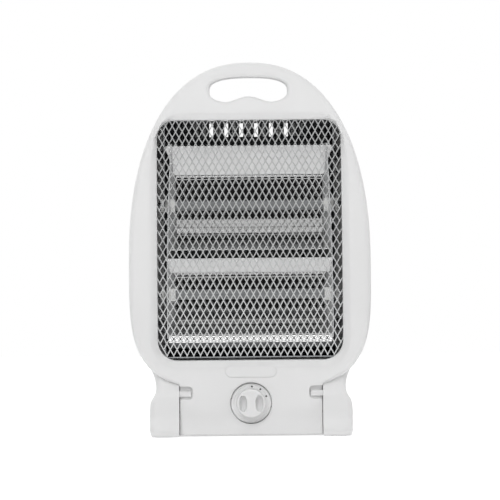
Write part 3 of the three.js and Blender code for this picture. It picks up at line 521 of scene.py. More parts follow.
def roundedBar(halfWidth, low, high, lowCorner, highCorner, steps=10, straight=6):
    loop = []
    corners = [(halfWidth - lowCorner, low + lowCorner, lowCorner, -90),
               (halfWidth - highCorner, high - highCorner, highCorner, 0),
               (highCorner - halfWidth, high - highCorner, highCorner, 90),
               (lowCorner - halfWidth, low + lowCorner, lowCorner, 180)]
    for x, z, radius, start in corners:
        for i in range(steps + 1):
            angle = radians(start + 90 * i / steps)
            loop.append((x + radius * cos(angle), z + radius * sin(angle)))
    filled = []
    for i, (x, z) in enumerate(loop):
        nextX, nextZ = loop[(i + 1) % len(loop)]
        parts = max(1, round(hypot(nextX - x, nextZ - z) / straight))
        filled += [(x + (nextX - x) * k / parts, z + (nextZ - z) * k / parts) for k in range(parts)]
    return filled


def circle(x, z, radius, count=40):
    return [(x + radius * cos(2 * pi * i / count), z + radius * sin(2 * pi * i / count))
            for i in range(count)]


# The curved faces of the casing: place in y, height where the arc is foremost, and radius.
arcs = {"front": (-47, 120, 560), "parting": (4, 120, 1500), "rear": (52, 180, -1450)}
flare = {"top": 34, "front": -14, "rear": 10}  # towards the floor the panel sweeps out


def arcFace(name, z):
    y, height, radius = arcs[name]
    return y + (z - height) ** 2 / (2 * radius)


def flareAt(name, z):
    return flare[name] * max(0, (flare["top"] - z) / flare["top"]) ** 2


def frontFace(z):
    return arcFace("front", z) + flareAt("front", z)


def partingFace(z):
    return arcFace("parting", z)


def rearFace(z):
    return arcFace("rear", z) + flareAt("rear", z)


casing = {
    "wall": 2.3,
    "fit": 0.3,
    "halfWidth": 123, "widest": 175, "topRise": 207.4, "topPower": 2.3, "bottomDrop": 127, "bottomPower": 3.8,
    "panelHalfWidth": 72.5, "panelBottom": 1.5, "panelEdge": 0.15,  # its share of the edge radius
    "frontRadius": 6, "rearRadius": 10,
    "fade": 5, "neck": 2,  # steps over which the edge radius halves, and how far below that the panel starts
    "windowHalfWidth": 94.5, "windowBottom": 77, "windowTop": 322.8, "windowCorners": (20.5, 19),
    "lipWidth": 7.5, "lipDepth": 5.1, "lipPower": 1.5, "lipSteps": 12, "lipLeast": 2.5, "lipToEdge": 1.5,
    "gripHalfWidth": 40, "gripHeight": 353.8, "gripRise": 13.2, "gripRound": 3.5,
    "gripLobe": 13.9, "gripCentre": 6.9, "gripLobeX": 27, "archPower": 2.6, "smilePower": 3,
    "dialHeight": 33.5, "dialRadius": 20.75, "dialFloor": 3.6,
    "notch": (59, 37.5, 51, 4.5),  # inner end, bottom, top and corner radius
    "notchHeight": 38, "notchDepth": 5, "notchOuter": 80, "notchFront": -70,
    "baseHole": (-60, 60, -33, 33, -5, 4.5),
    "vents": ((6, 302, 328), (7, 85, 125)),  # count, bottom and top
    "ventPitch": 15.4, "ventHalfWidth": 2.9, "ventCorner": 2.6,
    "screwSeats": [(70, 333), (108, 175), (48, 44)], "seatRadius": 4, "seatFloor": 4.8,
    "cordHole": (-35, 22, 5.3),
    "step": 4.5,
}


# Right-hand side of the outline from the top to the floor: x, z and how much of the edge radius it has.
def casingSide(upper=56, lower=34, panel=18):
    c = casing
    side = []
    for i in range(upper + 1):
        angle = pi / 2 * i / upper
        side.append((c["halfWidth"] * sin(angle) ** (2 / c["topPower"]),
                     c["widest"] + c["topRise"] * max(0, cos(angle)) ** (2 / c["topPower"]), 1))
    end = asin(((c["panelHalfWidth"] + 1) / c["halfWidth"]) ** (c["bottomPower"] / 2))
    for i in range(1, lower + 1):
        angle = pi / 2 - (pi / 2 - end) * i / lower
        side.append((c["halfWidth"] * sin(angle) ** (2 / c["bottomPower"]),
                     c["widest"] - c["bottomDrop"] * cos(angle) ** (2 / c["bottomPower"]),
                     min(1, 0.5 + 0.5 * (lower - i) / c["fade"])))
    neck = side[-1][1] - c["neck"]
    for i in range(panel + 1):
        side.append((c["panelHalfWidth"], neck + (c["panelBottom"] - neck) * i / panel, c["panelEdge"]))
    return side


def casingRing(inset, rounding):
    side = casingSide()
    last = len(side) - 1
    moved = []
    for i, (x, z, weight) in enumerate(side):
        before, after = side[max(i - 1, 0)], side[min(i + 1, last)]
        tangent = Vector((after[0] - before[0], after[1] - before[1]))
        if i == 0:
            tangent = Vector((1, 0))
        if i == last:
            tangent = Vector((-1, -1))
        tangent.normalize()
        depth = (inset + rounding * weight) * (sqrt(2) if i == last else 1)
        moved.append((x + tangent.y * depth, z - tangent.x * depth, weight))
    return moved + [(-x, z, weight) for x, z, weight in reversed(moved[1:])]


def windowOutline(offset):
    c = casing
    low, high = c["windowCorners"]
    return roundedBar(c["windowHalfWidth"] + offset, c["windowBottom"] - offset, c["windowTop"] + offset,
                      low + offset, high + offset)


def gripOutline(offset, steps=60):
    c = casing
    half = c["gripHalfWidth"] + offset
    arch, smile = [], []
    for i in range(steps):
        x = half * cos(pi * i / steps)
        part = abs(x) / half
        rise = (c["gripRise"] + offset) * (1 - part ** c["archPower"]) ** (1 / c["archPower"])
        lobe = 0.5 - 0.5 * cos(pi * min(1, abs(x) / c["gripLobeX"]))
        depth = c["gripCentre"] + (c["gripLobe"] - c["gripCentre"]) * lobe + offset
        arch.append((x, c["gripHeight"] + rise))
        smile.append((-x, c["gripHeight"] - depth * (1 - part ** c["smilePower"]) ** (1 / c["smilePower"])))
    return arch + smile


# How wide the window's rounded lip is at each point: it narrows where the casing's edge comes near.
def lipWidths():
    edge = np.array([(x, z) for x, z, _ in casingRing(0, casing["frontRadius"])])
    away = nearest(np.array(windowOutline(0)), edge)
    widths = np.clip(away - casing["lipToEdge"], casing["lipLeast"], casing["lipWidth"])
    wrapped = np.concatenate([widths[-4:], widths, widths[:4]])
    return np.minimum(widths, np.convolve(wrapped, np.ones(5) / 5, "same")[4:-4])


def lipOutline(offset):
    base, outer = np.array(windowOutline(0)), np.array(windowOutline(1))
    share = (offset / casing["lipWidth"] * lipWidths())[:, None]
    return [tuple(p) for p in base + (outer - base) * share]


# A rounded rim into a hole: offsets from the hole's edge with depths behind the face.
def rimProfile(size, steps=9):
    return [(size * (1 - sin(pi / 2 * i / steps)), size * (1 - cos(pi / 2 * i / steps)))
            for i in range(steps + 1)]


# One shell as a skin: side wall, rounded edge and face, with a rounded rim into each hole.
def shellSkin(name, face, side, radius, startFace, rims, steps=9):
    bm = bmesh.new()
    rings = [[(x, startFace(z), z) for x, z, _ in casingRing(0, 0)]]
    for i in range(steps + 1):
        angle = pi / 2 * i / steps
        ring = casingRing(0, radius * (1 - cos(angle)))
        drop = side * radius * (1 - sin(angle))
        rings.append([(x, face(z) - drop * weight, z) for x, z, weight in ring])
    for k in (1, 2):
        rings.insert(k, [tuple(a + (np.array(b) - a) * 0.5) for a, b in zip(rings[k - 1], rings[k])])
    lace(bm, rings)
    outer = [(x, z) for x, _, z in rings[-1]]
    fillFace(bm, outer, [outline(profile[0][0]) for outline, profile, _ in rims], casing["step"],
             lambda x, z: face(z))
    for outline, profile, end in rims:
        loops = [[(x, face(z) - side * depth, z) for x, z in outline(offset)] for offset, depth in profile]
        if end:
            loops.append([(x, end(z), z) for x, z in outline(0)])
        lace(bm, loops)
    closeUp(bm)
    facing = sum(f.normal.y * f.calc_area() for f in bm.faces if f.is_valid and abs(f.normal.y) > 0.9)
    if facing * side < 0:
        bmesh.ops.reverse_faces(bm, faces=bm.faces)
    piece = pieceFrom(name, bm)
    thicken(piece, casing["wall"])
    return piece


# The pocket beside a foot: its inner end is rounded.
def notchTool(hand, back):
    end, low, high, corner = casing["notch"]
    loop = [(hand * casing["notchOuter"], z) for z in (low, high)]
    for middle, start in ((high - corner, 90), (low + corner, 180)):
        loop += [(hand * (end + corner + corner * cos(radians(start + a))),
                  middle + corner * sin(radians(start + a))) for a in range(0, 91, 15)]
    return prismTool(loop, casing["notchFront"], back)


def makeFrontShell():
    c = casing
    shares = [i / c["lipSteps"] for i in range(c["lipSteps"] + 1)]
    lip = [(c["lipWidth"] * (1 - t), c["lipDepth"] * t ** c["lipPower"]) for t in shares]
    dialHole = c["dialRadius"] + c["fit"]
    shell = shellSkin("front_casing", frontFace, -1, c["frontRadius"], partingFace, [
        (lipOutline, lip, None),
        (gripOutline, rimProfile(c["gripRound"]), partingFace),
        (lambda offset: circle(0, c["dialHeight"], dialHole + offset, 72), rimProfile(0.8, 4),
         lambda z: frontFace(z) + c["dialFloor"]),
    ])
    notchBack = frontFace(c["notchHeight"]) + c["notchDepth"]
    cutAway(shell, notchTool(1, notchBack), notchTool(-1, notchBack), blockTool(*c["baseHole"]))
    return shell


def makeRearShell():
    c = casing

    def start(z):
        return partingFace(z) + c["fit"]

    def ventAt(x, low, high):
        def outline(offset):
            corner = c["ventCorner"] + offset
            bar = roundedBar(c["ventHalfWidth"] + offset, low - offset, high + offset, corner, corner, 5, 5)
            return [(x + px, z) for px, z in bar]
        return outline
    rims = [(gripOutline, rimProfile(c["gripRound"]), start)]
    for count, low, high in c["vents"]:
        for i in range(count):
            rims.append((ventAt((i - (count - 1) / 2) * c["ventPitch"], low, high), rimProfile(0.5, 3), None))
    for x, z in c["screwSeats"]:
        for hand in (1, -1):
            rims.append((lambda offset, x=x * hand, z=z: circle(x, z, c["seatRadius"] + offset, 28),
                         rimProfile(0.8, 4), lambda at, floor=partingFace(z) + c["seatFloor"]: floor))
    x, z, radius = c["cordHole"]
    rims.append((lambda offset: circle(x, z, radius + offset, 32), rimProfile(0.3, 2), None))
    shell = shellSkin("rear_casing", rearFace, 1, c["rearRadius"], start, rims)
    cutAway(shell, blockTool(*c["baseHole"]))
    return shell


settle(makeFrontShell(), "casing", "casing", "front_shell")
settle(makeRearShell(), "casing", "casing", "rear_shell")
print("casing shells made")

foot = {
    "innerX": 73.0, "corner": 8, "chamfer": 0.4,
    "gap": 0.15,  # to the casing
    "cutDepth": 80, "flank": 14,
    # height, width and half depth, from the floor up
    "rows": [(0.35, 28.0, 58.2), (2.6, 29.2, 59.3), (12, 30.2, 56), (18, 30.3, 51), (30, 30, 47.5),
             (37, 28.5, 46), (41, 26, 45), (46, 24, 42), (52, 23.8, 38), (60, 25.5, 33.5), (70, 30, 29)],
    "cavity": (76.5, 99, -40, 40, -5, 36),
    "tray": (57.5, 71.9, 36.1, 52.4),  # ends in x and in z
    "trayFront": 2.2, "trayFloor": 3.4, "trayWall": 1.5,
    "tab": (60.7, 73.6, 40.3, 46.3), "tabHeight": 38.7, "tabSink": 1, "tabThickness": 1.6, "tabEdge": 1.1,
}


# A smooth curve through rows of numbers, the first of which is the height.
def smoothRows(rows, parts):
    table = np.array(rows, float)
    heights = table[:, 0]
    slopes = np.gradient(table[:, 1:], heights, axis=0)
    filled = []
    for i in range(len(rows) - 1):
        span = heights[i + 1] - heights[i]
        for k in range(parts):
            t = k / parts
            a = 2 * t ** 3 - 3 * t ** 2 + 1
            b = t ** 3 - 2 * t ** 2 + t
            values = (a * table[i, 1:] + b * span * slopes[i] + (1 - a) * table[i + 1, 1:]
                      + (t ** 3 - t ** 2) * span * slopes[i + 1])
            filled.append((heights[i] + span * t, *values))
    filled.append(tuple(rows[-1]))
    return filled


def footRing(z, width, halfDepth):
    f = foot
    inner, outer = f["innerX"], f["innerX"] + width
    ring = [(inner + f["chamfer"], -halfDepth, z), (inner, -halfDepth + f["chamfer"], z),
            (inner, halfDepth - f["chamfer"], z), (inner + f["chamfer"], halfDepth, z)]
    for end in (1, -1):
        for i in range(9):
            angle = pi / 2 * ((i if end < 0 else 8 - i) / 8)
            ring.append((outer - f["corner"] * (1 - cos(angle)),
                         end * (halfDepth - f["corner"] * (1 - sin(angle))), z))
        if end > 0:
            flank = halfDepth - f["flank"]
            ring += [(outer, y, z) for y in np.linspace(flank, -flank, 7)]
    return ring


def makeFoot(name, hand):
    bm = bmesh.new()
    rings = [footRing(*row) for row in smoothRows(foot["rows"], 4)]
    lace(bm, rings)
    cap(bm, rings[0])
    cap(bm, rings[-1])
    bmesh.ops.remove_doubles(bm, verts=bm.verts, dist=0.005)
    bmesh.ops.scale(bm, vec=(hand, 1, 1), verts=bm.verts)
    bmesh.ops.recalc_face_normals(bm, faces=bm.faces)
    piece = pieceFrom(name, bm)
    outline = [(x, z) for x, z, _ in casingRing(-foot["gap"], 0)]
    inner, outer, *hollow = foot["cavity"]
    cutAway(piece, prismTool(outline, -foot["cutDepth"], foot["cutDepth"]),
            blockTool(*sorted((hand * inner, hand * outer)), *hollow))
    return piece


# The tab of a foot in the notch of the casing's front.
def makeTab(name, hand):
    front = frontFace(foot["tabHeight"]) + foot["tabSink"]
    inner, outer, low, high = foot["tab"]
    tab = blockTool(*sorted((hand * inner, hand * outer)), front, front + foot["tabThickness"], low, high)
    tab.name = name
    bevel(tab, foot["tabEdge"], 4)
    return tab


# The notch's floor and walls, behind the casing's skin.
def makeNotch(name, hand):
    face = frontFace(casing["notchHeight"])
    back = face + foot["trayFloor"]
    inner, outer, low, high = foot["tray"]
    ends = sorted((hand * inner, hand * outer))
    tray = blockTool(*ends, face + foot["trayFront"], back + foot["trayWall"], low, high)
    tray.name = name
    cutAway(tray, notchTool(hand, back))
    return tray


for hand, side in ((-1, "left"), (1, "right")):
    settle(makeFoot("foot_casting_" + side, hand), "casing", "casing", "foot_" + side)
    settle(makeTab("foot_tab_" + side, hand), "casing", "casing")
    settle(makeNotch("notch_floor_" + side, hand), "casing", "casing")
print("feet made")

guard = {
    "cell": (6.8, 12.35),  # width and height of a diamond, middle to middle
    "count": (29, 21),
    "strand": (0.95, 0.55),  # width and thickness
    "knuckle": (1.5, 3.0),  # width and height of a joint between strands
    "twist": 24,  # degrees that a strand leans when the sheet is stretched
    "behindFace": 5.7,
    "corner": 18, "overlap": 0.6,  # how the mesh fills the window
    "rim": (1.3, -0.5),  # outer and inner edge of the welded rim, from the window's edge
    "rimDepth": (-0.2, 0.5),
}


# A node tree with a named input for each value, and the outputs of its input node.
def newTree(name, inputs):
    tree = bpy.data.node_groups.new(name, "GeometryNodeTree")
    tree.interface.new_socket("Geometry", in_out="INPUT", socket_type="NodeSocketGeometry")
    kinds = {tuple: "Vector", int: "Int", float: "Float", bpy.types.Material: "Material",
             bpy.types.Object: "Object"}
    for label, value in inputs.items():
        kind = next(word for form, word in kinds.items() if isinstance(value, form))
        tree.interface.new_socket(label, in_out="INPUT", socket_type="NodeSocket" + kind)
    tree.interface.new_socket("Geometry", in_out="OUTPUT", socket_type="NodeSocketGeometry")
    return tree, addNode(tree, "NodeGroupInput").outputs


# Runs a tree once on a piece and keeps the plain mesh.
def grow(piece, tree, inputs):
    modifier = piece.modifiers.new(tree.name, "NODES")
    modifier.node_group = tree
    for item in tree.interface.items_tree:
        if item.in_out == "INPUT" and item.name in inputs:
            modifier[item.identifier] = inputs[item.name]
    applied(piece)


def closeTree(tree, geometry, material):
    real = addNode(tree, "GeometryNodeRealizeInstances", {0: geometry})
    finished = addNode(tree, "GeometryNodeSetMaterial", {"Geometry": real, "Material": material})
    addNode(tree, "NodeGroupOutput", {0: finished})


def combine(tree, x=0, y=0, z=0):
    return addNode(tree, "ShaderNodeCombineXYZ", {0: x, 1: y, 2: z})


def position(tree):
    return split(tree, addNode(tree, "GeometryNodeInputPosition"))


def moved(tree, geometry, **changes):
    return addNode(tree, "GeometryNodeTransform", {"Geometry": geometry, **changes})


def joined(tree, *geometries):
    both = addNode(tree, "GeometryNodeJoinGeometry")
    for geometry in geometries:
        tree.links.new(geometry, both.inputs[0])
    return both


# Every joint of the mesh: two staggered grids, laid on the casing's front arc.
def jointPoints(tree, given):
    do = partial(calc, tree)
    width, height = given["Cell Width"], given["Cell Height"]
    grids = []
    for shift in (0, 0.5):
        grid = addNode(tree, "GeometryNodeMeshGrid", {
            "Size X": do("MULTIPLY", width, do("SUBTRACT", given["Columns"], 1)),
            "Size Y": do("MULTIPLY", height, do("SUBTRACT", given["Rows"], 1)),
            "Vertices X": given["Columns"], "Vertices Y": given["Rows"]})
        offset = combine(tree, do("MULTIPLY", width, shift), do("MULTIPLY", height, shift))
        grids.append(moved(tree, grid, Translation=offset).outputs[0])
    points = addNode(tree, "GeometryNodeMeshToPoints", {"Mesh": joined(tree, *grids)})
    place = position(tree)
    z = do("ADD", place["Y"], given["Middle Height"])
    above = do("SUBTRACT", z, given["Arc Height"])
    sag = do("DIVIDE", do("MULTIPLY", above, above), do("MULTIPLY", given["Arc Radius"], 2))
    laid = combine(tree, place["X"], do("ADD", sag, given["Front"]), z)
    return addNode(tree, "GeometryNodeSetPosition", {"Geometry": points, "Position": laid})


# Only the joints inside the window's rounded outline.
def insideWindow(tree, given, points):
    do = partial(calc, tree)
    place = position(tree)
    across = do("ABSOLUTE", place["X"])
    up = do("ABSOLUTE", do("SUBTRACT", place["Z"], given["Middle Height"]))
    past = [do("MAXIMUM", do("SUBTRACT", reach, do("SUBTRACT", half, given["Corner"])), 0)
            for reach, half in ((across, given["Half Width"]), (up, given["Half Height"]))]
    reach = do("SQRT", do("ADD", *[do("MULTIPLY", value, value) for value in past]))
    outside = addNode(tree, "FunctionNodeCompare", {0: reach, 1: given["Corner"]}, data_type="FLOAT",
                      operation="GREATER_THAN")
    dropped = {"Geometry": points, "Selection": outside}
    return addNode(tree, "GeometryNodeDeleteGeometry", dropped, domain="POINT")


# Two strands that rise from a joint to its upper neighbours, and the joint itself.
def strandUnit(tree, given):
    do = partial(calc, tree)
    width, height = given["Cell Width"], given["Cell Height"]
    diagonal = do("SQRT", do("ADD", do("MULTIPLY", width, width), do("MULTIPLY", height, height)))
    size = combine(tree, given["Strand Width"], given["Strand Thickness"], do("MULTIPLY", 0.5, diagonal))
    lean = do("ARCTAN2", width, height)
    made = []
    for hand in (-1, 1):
        cube = addNode(tree, "GeometryNodeMeshCube", {"Size": size})
        turned = moved(tree, cube, Rotation=combine(tree, z=do("MULTIPLY", given["Twist"], hand)))
        middle = combine(tree, do("MULTIPLY", width, hand * 0.25), 0, do("MULTIPLY", height, 0.25))
        tilt = combine(tree, y=do("MULTIPLY", lean, hand))
        made.append(moved(tree, turned, Rotation=tilt, Translation=middle).outputs[0])
    ball = addNode(tree, "GeometryNodeMeshUVSphere", {"Segments": 6, "Rings": 4, "Radius": 0.5})
    knuckle = combine(tree, given["Knuckle Width"], given["Strand Thickness"], given["Knuckle Height"])
    return joined(tree, *made, moved(tree, ball, Scale=knuckle).outputs[0])


def guardTree(inputs):
    tree, given = newTree("expanded mesh", inputs)
    points = insideWindow(tree, given, jointPoints(tree, given))
    above = calc(tree, "SUBTRACT", position(tree)["Z"], given["Arc Height"])
    slope = calc(tree, "ARCTANGENT", calc(tree, "DIVIDE", above, given["Arc Radius"]))
    mesh = addNode(tree, "GeometryNodeInstanceOnPoints", {
        "Points": points, "Instance": strandUnit(tree, given),
        "Rotation": combine(tree, calc(tree, "MULTIPLY", slope, -1))})
    closeTree(tree, joined(tree, mesh.outputs[0], given["Geometry"]), given["Material"])
    return tree


def makeGuard():
    g, c = guard, casing
    y, height, radius = arcs["front"]
    bm = bmesh.new()
    outer, inner = g["rim"]
    near, far = (g["behindFace"] + depth for depth in g["rimDepth"])
    lace(bm, [[(x, frontFace(z) + depth, z) for x, z in windowOutline(edge)]
              for edge, depth in ((outer, near), (inner, near), (inner, far), (outer, far), (outer, near))])
    closeUp(bm)
    piece = pieceFrom("guard_mesh", bm)
    lengths = {
        "Cell Width": g["cell"][0], "Cell Height": g["cell"][1],
        "Strand Width": g["strand"][0], "Strand Thickness": g["strand"][1],
        "Knuckle Width": g["knuckle"][0], "Knuckle Height": g["knuckle"][1],
        "Middle Height": (c["windowBottom"] + c["windowTop"]) / 2, "Arc Height": height, "Arc Radius": radius,
        "Front": y + g["behindFace"] + 0.2, "Half Width": c["windowHalfWidth"] + g["overlap"],
        "Half Height": (c["windowTop"] - c["windowBottom"]) / 2 + g["overlap"], "Corner": g["corner"],
    }
    inputs = {label: value / 1000 for label, value in lengths.items()}
    inputs |= {"Columns": g["count"][0], "Rows": g["count"][1], "Twist": radians(g["twist"]),
               "Material": materials["guard_wire"]}
    grow(piece, guardTree(inputs), inputs)
    return piece


settle(makeGuard(), "guard_wire", "casing", "guard")
print("guard made")

box = {
    "sheet": 1.0, "bend": 2.2,
    "upperMouth": (190, 296), "upperShoulder": (1, 266), "upperCreases": (220.5, 263), "upperBack": 10,
    "lowerMouth": (103, 181), "lowerShoulder": (-25, 166), "lowerCreases": (128, 163), "lowerBack": 0,
    "apronRadius": 24, "apronStart": 0.25,  # the apron curves down and back from its lean at the mouth
    "plateFront": (85.2, -40), "plateBack": (75.5, 16), "plateGap": 1.3,
    "mouthSetback": 9, "wingHalfWidth": 85.6, "wingBottoms": (271, 171),
}


def mouthY(z):
    return frontFace(z) + box["mouthSetback"]


# A line of y, z points with its inner corners rounded.
def bentLine(points, radius, steps=6):
    line = [Vector(points[0])]
    for before, here, after in zip(points, points[1:], points[2:]):
        here, into, out = Vector(here), Vector(before) - Vector(here), Vector(after) - Vector(here)
        half = into.angle(out) / 2
        reach = min(radius / tan(half), 0.45 * min(into.length, out.length))
        start, end = here + into.normalized() * reach, here + out.normalized() * reach
        for i in range(steps + 1):
            t = i / steps
            line.append(start * (1 - t) ** 2 + here * 2 * t * (1 - t) + end * t * t)
    line.append(Vector(points[-1]))
    return line


def plateX(y):
    (x0, y0), (x1, y1) = box["plateFront"], box["plateBack"]
    return x0 + (x1 - x0) * (y - y0) / (y1 - y0)


# Adds a point near both ends of each flat run, so that it is shaded flat right up to the bends.
def steadied(line, close=0.5):
    filled = [line[0]]
    for before, here in zip(line, line[1:]):
        run = Vector(here) - Vector(before)
        if run.length > 4 * close:
            step = run.normalized() * close
            filled += [Vector(before) + step, Vector(here) - step]
        filled.append(here)
    return filled


# Folded sheet across the box, its ends cut along the slanted side plates; the wing above is wider.
def foldedSheet(name, line, wingBottom, columns=24):
    bm = bmesh.new()
    rows = []
    for y, z in steadied(line):
        half = box["wingHalfWidth"]
        if z <= wingBottom:
            half = min(plateX(max(y, -42)) - box["plateGap"], half)
        rows.append([bm.verts.new((half * (2 * i / columns - 1), y, z)) for i in range(columns + 1)])
    for first, second in zip(rows, rows[1:]):
        for i in range(columns):
            bm.faces.new((first[i], first[i + 1], second[i + 1], second[i]))
    bm.normal_update()
    if sum(f.normal.y for f in bm.faces) > 0:
        bmesh.ops.reverse_faces(bm, faces=bm.faces)
    piece = pieceFrom(name, bm)
    thicken(piece, box["sheet"])
    return piece


# The folds of a reflector from its wing down to its lower edge.
def foldPoints(level):
    low, high = box[level + "Mouth"]
    back = box[level + "Back"]
    bottom, top = box[level + "Creases"]
    return [(mouthY(high), high), box[level + "Shoulder"], (back, top), (back, bottom), (mouthY(low), low)]


def makeReflectors():
    b = box
    wings = dict(zip(("upper", "lower"), b["wingBottoms"]))
    lines = {"upper": bentLine(foldPoints("upper"), b["bend"])}
    *folds, (y, z) = foldPoints("lower")
    start, radius = b["apronStart"], b["apronRadius"]
    apron = [(y + radius * (cos(start) - cos(a)), z - radius * (sin(a) - sin(start)))
             for a in np.linspace(start, pi / 2, 16)]
    lines["lower"] = bentLine([*folds, apron[0], apron[3]], b["bend"])[:-1] + [Vector(p) for p in apron[3:]]
    for level, line in lines.items():
        settle(foldedSheet("reflector_trough_" + level, line, wings[level]), "bright_reflector", "casing",
               "reflector_" + level, limit=50)


makeReflectors()
print("reflectors made")

tubes = {
    "heights": {"upper": 235, "lower": 144}, "setback": 23, "radius": 4.9, "wall": 1.0, "halfLength": 79.8,
    "coilRadius": 1.45, "wire": 0.32, "pitch": 1.25, "coilHalfLength": 77.5, "slump": 0.35,
    "rounding": 0.3, "bulge": 0.1,  # of the pipe's fire-polished ends
}


def latheMesh(name, profile, place, turn, segments=48, closed=True):
    bm = bmesh.new()
    rings = [[(x, y, along) for x, y in circle(0, 0, radius, segments)] for radius, along in profile]
    lace(bm, rings + rings[:1] if closed else rings)
    bmesh.ops.remove_doubles(bm, verts=bm.verts, dist=0.003)
    bmesh.ops.dissolve_degenerate(bm, edges=bm.edges, dist=0.003)
    bmesh.ops.recalc_face_normals(bm, faces=bm.faces)
    bmesh.ops.transform(bm, matrix=Matrix.Translation(place) @ turn, verts=bm.verts)
    return pieceFrom(name, bm)


alongX = Matrix.Rotation(pi / 2, 4, "Y")
alongY = Matrix.Rotation(-pi / 2, 4, "X")
upZ = Matrix.Identity(4)


# A coil of round wire along X, wound on its own axis, that sags a little between its ends.
def coilTree(inputs):
    tree, given = newTree("wound coil", inputs)
    do = partial(calc, tree)
    spiral = addNode(tree, "GeometryNodeCurveSpiral", {
        "Resolution": given["Steps"], "Rotations": given["Turns"], "Start Radius": given["Radius"],
        "End Radius": given["Radius"], "Height": given["Length"]})
    laid = moved(tree, spiral, Translation=given["Start"], Rotation=(0, pi / 2, 0))
    share = do("DIVIDE", position(tree)["X"], do("MULTIPLY", given["Length"], 0.5))
    fall = do("MULTIPLY", do("SUBTRACT", 1, do("MULTIPLY", share, share)), do("MULTIPLY", given["Slump"], -1))
    sagged = addNode(tree, "GeometryNodeSetPosition", {"Geometry": laid, "Offset": combine(tree, z=fall)})
    wire = addNode(tree, "GeometryNodeCurvePrimitiveCircle", {"Resolution": 5, "Radius": given["Wire"]})
    swept = {"Curve": sagged, "Profile Curve": wire, "Fill Caps": True}
    mesh = addNode(tree, "GeometryNodeCurveToMesh", swept)
    closeTree(tree, addNode(tree, "GeometryNodeSetShadeSmooth", {0: mesh}), given["Material"])
    return tree


def makeTubes():
    t = tubes
    inner, outer, end = t["radius"] - t["wall"], t["radius"], t["halfLength"]
    edge, bulge = t["rounding"], t["bulge"]
    profile = [(inner, -end), (inner + edge, -end - bulge), (outer - edge, -end - bulge),
               (outer, -end + edge), (outer, end - edge), (outer - edge, end + bulge),
               (inner + edge, end + bulge), (inner, end)]
    half = t["coilHalfLength"]
    inputs = {"Steps": 10, "Turns": 2 * half / t["pitch"], "Radius": t["coilRadius"] / 1000,
              "Length": 2 * half / 1000, "Wire": t["wire"] / 1000 / 2, "Slump": t["slump"] / 1000,
              "Start": (0, 0, 0), "Material": materials["filament"]}
    tree = coilTree(inputs)
    for level, z in t["heights"].items():
        y = frontFace(z) + t["setback"]
        pipe = latheMesh("tube_" + level, profile, (0, y, z), alongX)
        settle(pipe, "quartz", "casing", "quartz_tube_" + level)
        coil = newObject("coil_" + level, bpy.data.meshes.new("coil_" + level))
        grow(coil, tree, {**inputs, "Start": (-half / 1000, y / 1000, z / 1000)})
        settle(coil, "filament", "casing", "filament_" + level, limit=80)


makeTubes()
print("tubes and coils made")

controls = {
    "height": 33.5, "dialRadius": 20.7, "recess": 0.9, "dialThickness": 2.2, "bore": 4.2,
    "groove": (17.9, 18.15, 18.4, 18.65, 0.22),  # its four radii and its depth
    "dialEdge": ((1.4, 0), (0.8, 0.2), (0.25, 0.7), (0, 1.3)),  # in from the rim, and behind the face
    "dotRadius": 16.9, "dotSize": 0.95, "dotAngles": (3, 34, 66),  # clockwise from the top
    "knobRadius": 15, "knobDepth": 14, "knobEdge": 1.8, "taper": 0.5, "knobBore": (3.4, 4), "crown": 0.5,
    "knobSink": 0.5, "knobStep": 0.55,
    "scoopX": 8.3, "scoopHalf": (3.9, 8.2), "scoopDepth": 9.2, "scoopPower": 2.4, "scoopWall": 0.45,
    "badge": (26, 6, 65.9),  # half width, half height and middle
    "badgeProfile": [(0, 0), (0, 0.45), (-0.25, 0.8), (-0.8, 1.0)], "badgeLift": 0.3, "badgeStep": 2.5,
}


def makeDial():
    k = controls
    front = frontFace(k["height"]) + k["recess"]
    thick, radius, bore = k["dialThickness"], k["dialRadius"], k["bore"]
    *groove, depth = k["groove"]
    profile = [(bore, 0.1), (bore + 0.3, 0), *zip(groove, (0, depth, depth, 0)),
               *[(radius - inset, drop) for inset, drop in k["dialEdge"]], (radius, thick), (bore, thick)]
    return latheMesh("dial_ring", profile, (0, front, k["height"]), alongY, 96)


def makeDots():
    k = controls
    front = frontFace(k["height"]) + k["recess"]
    bm = bmesh.new()
    for degrees in k["dotAngles"]:
        angle = radians(degrees)
        x, z = k["dotRadius"] * sin(angle), k["height"] + k["dotRadius"] * cos(angle)
        rings = [[(x + radius * cos(a), front - rise, z + radius * sin(a))
                  for a in np.linspace(0, 2 * pi, 20, endpoint=False)]
                 for radius, rise in ((k["dotSize"], -0.3), (k["dotSize"], 0.0), (k["dotSize"] - 0.15, 0.05))]
        lace(bm, rings)
        cap(bm, rings[-1])
        cap(bm, reversed(rings[0]))
    closeUp(bm, 0.003)
    return pieceFrom("dial_dots", bm)


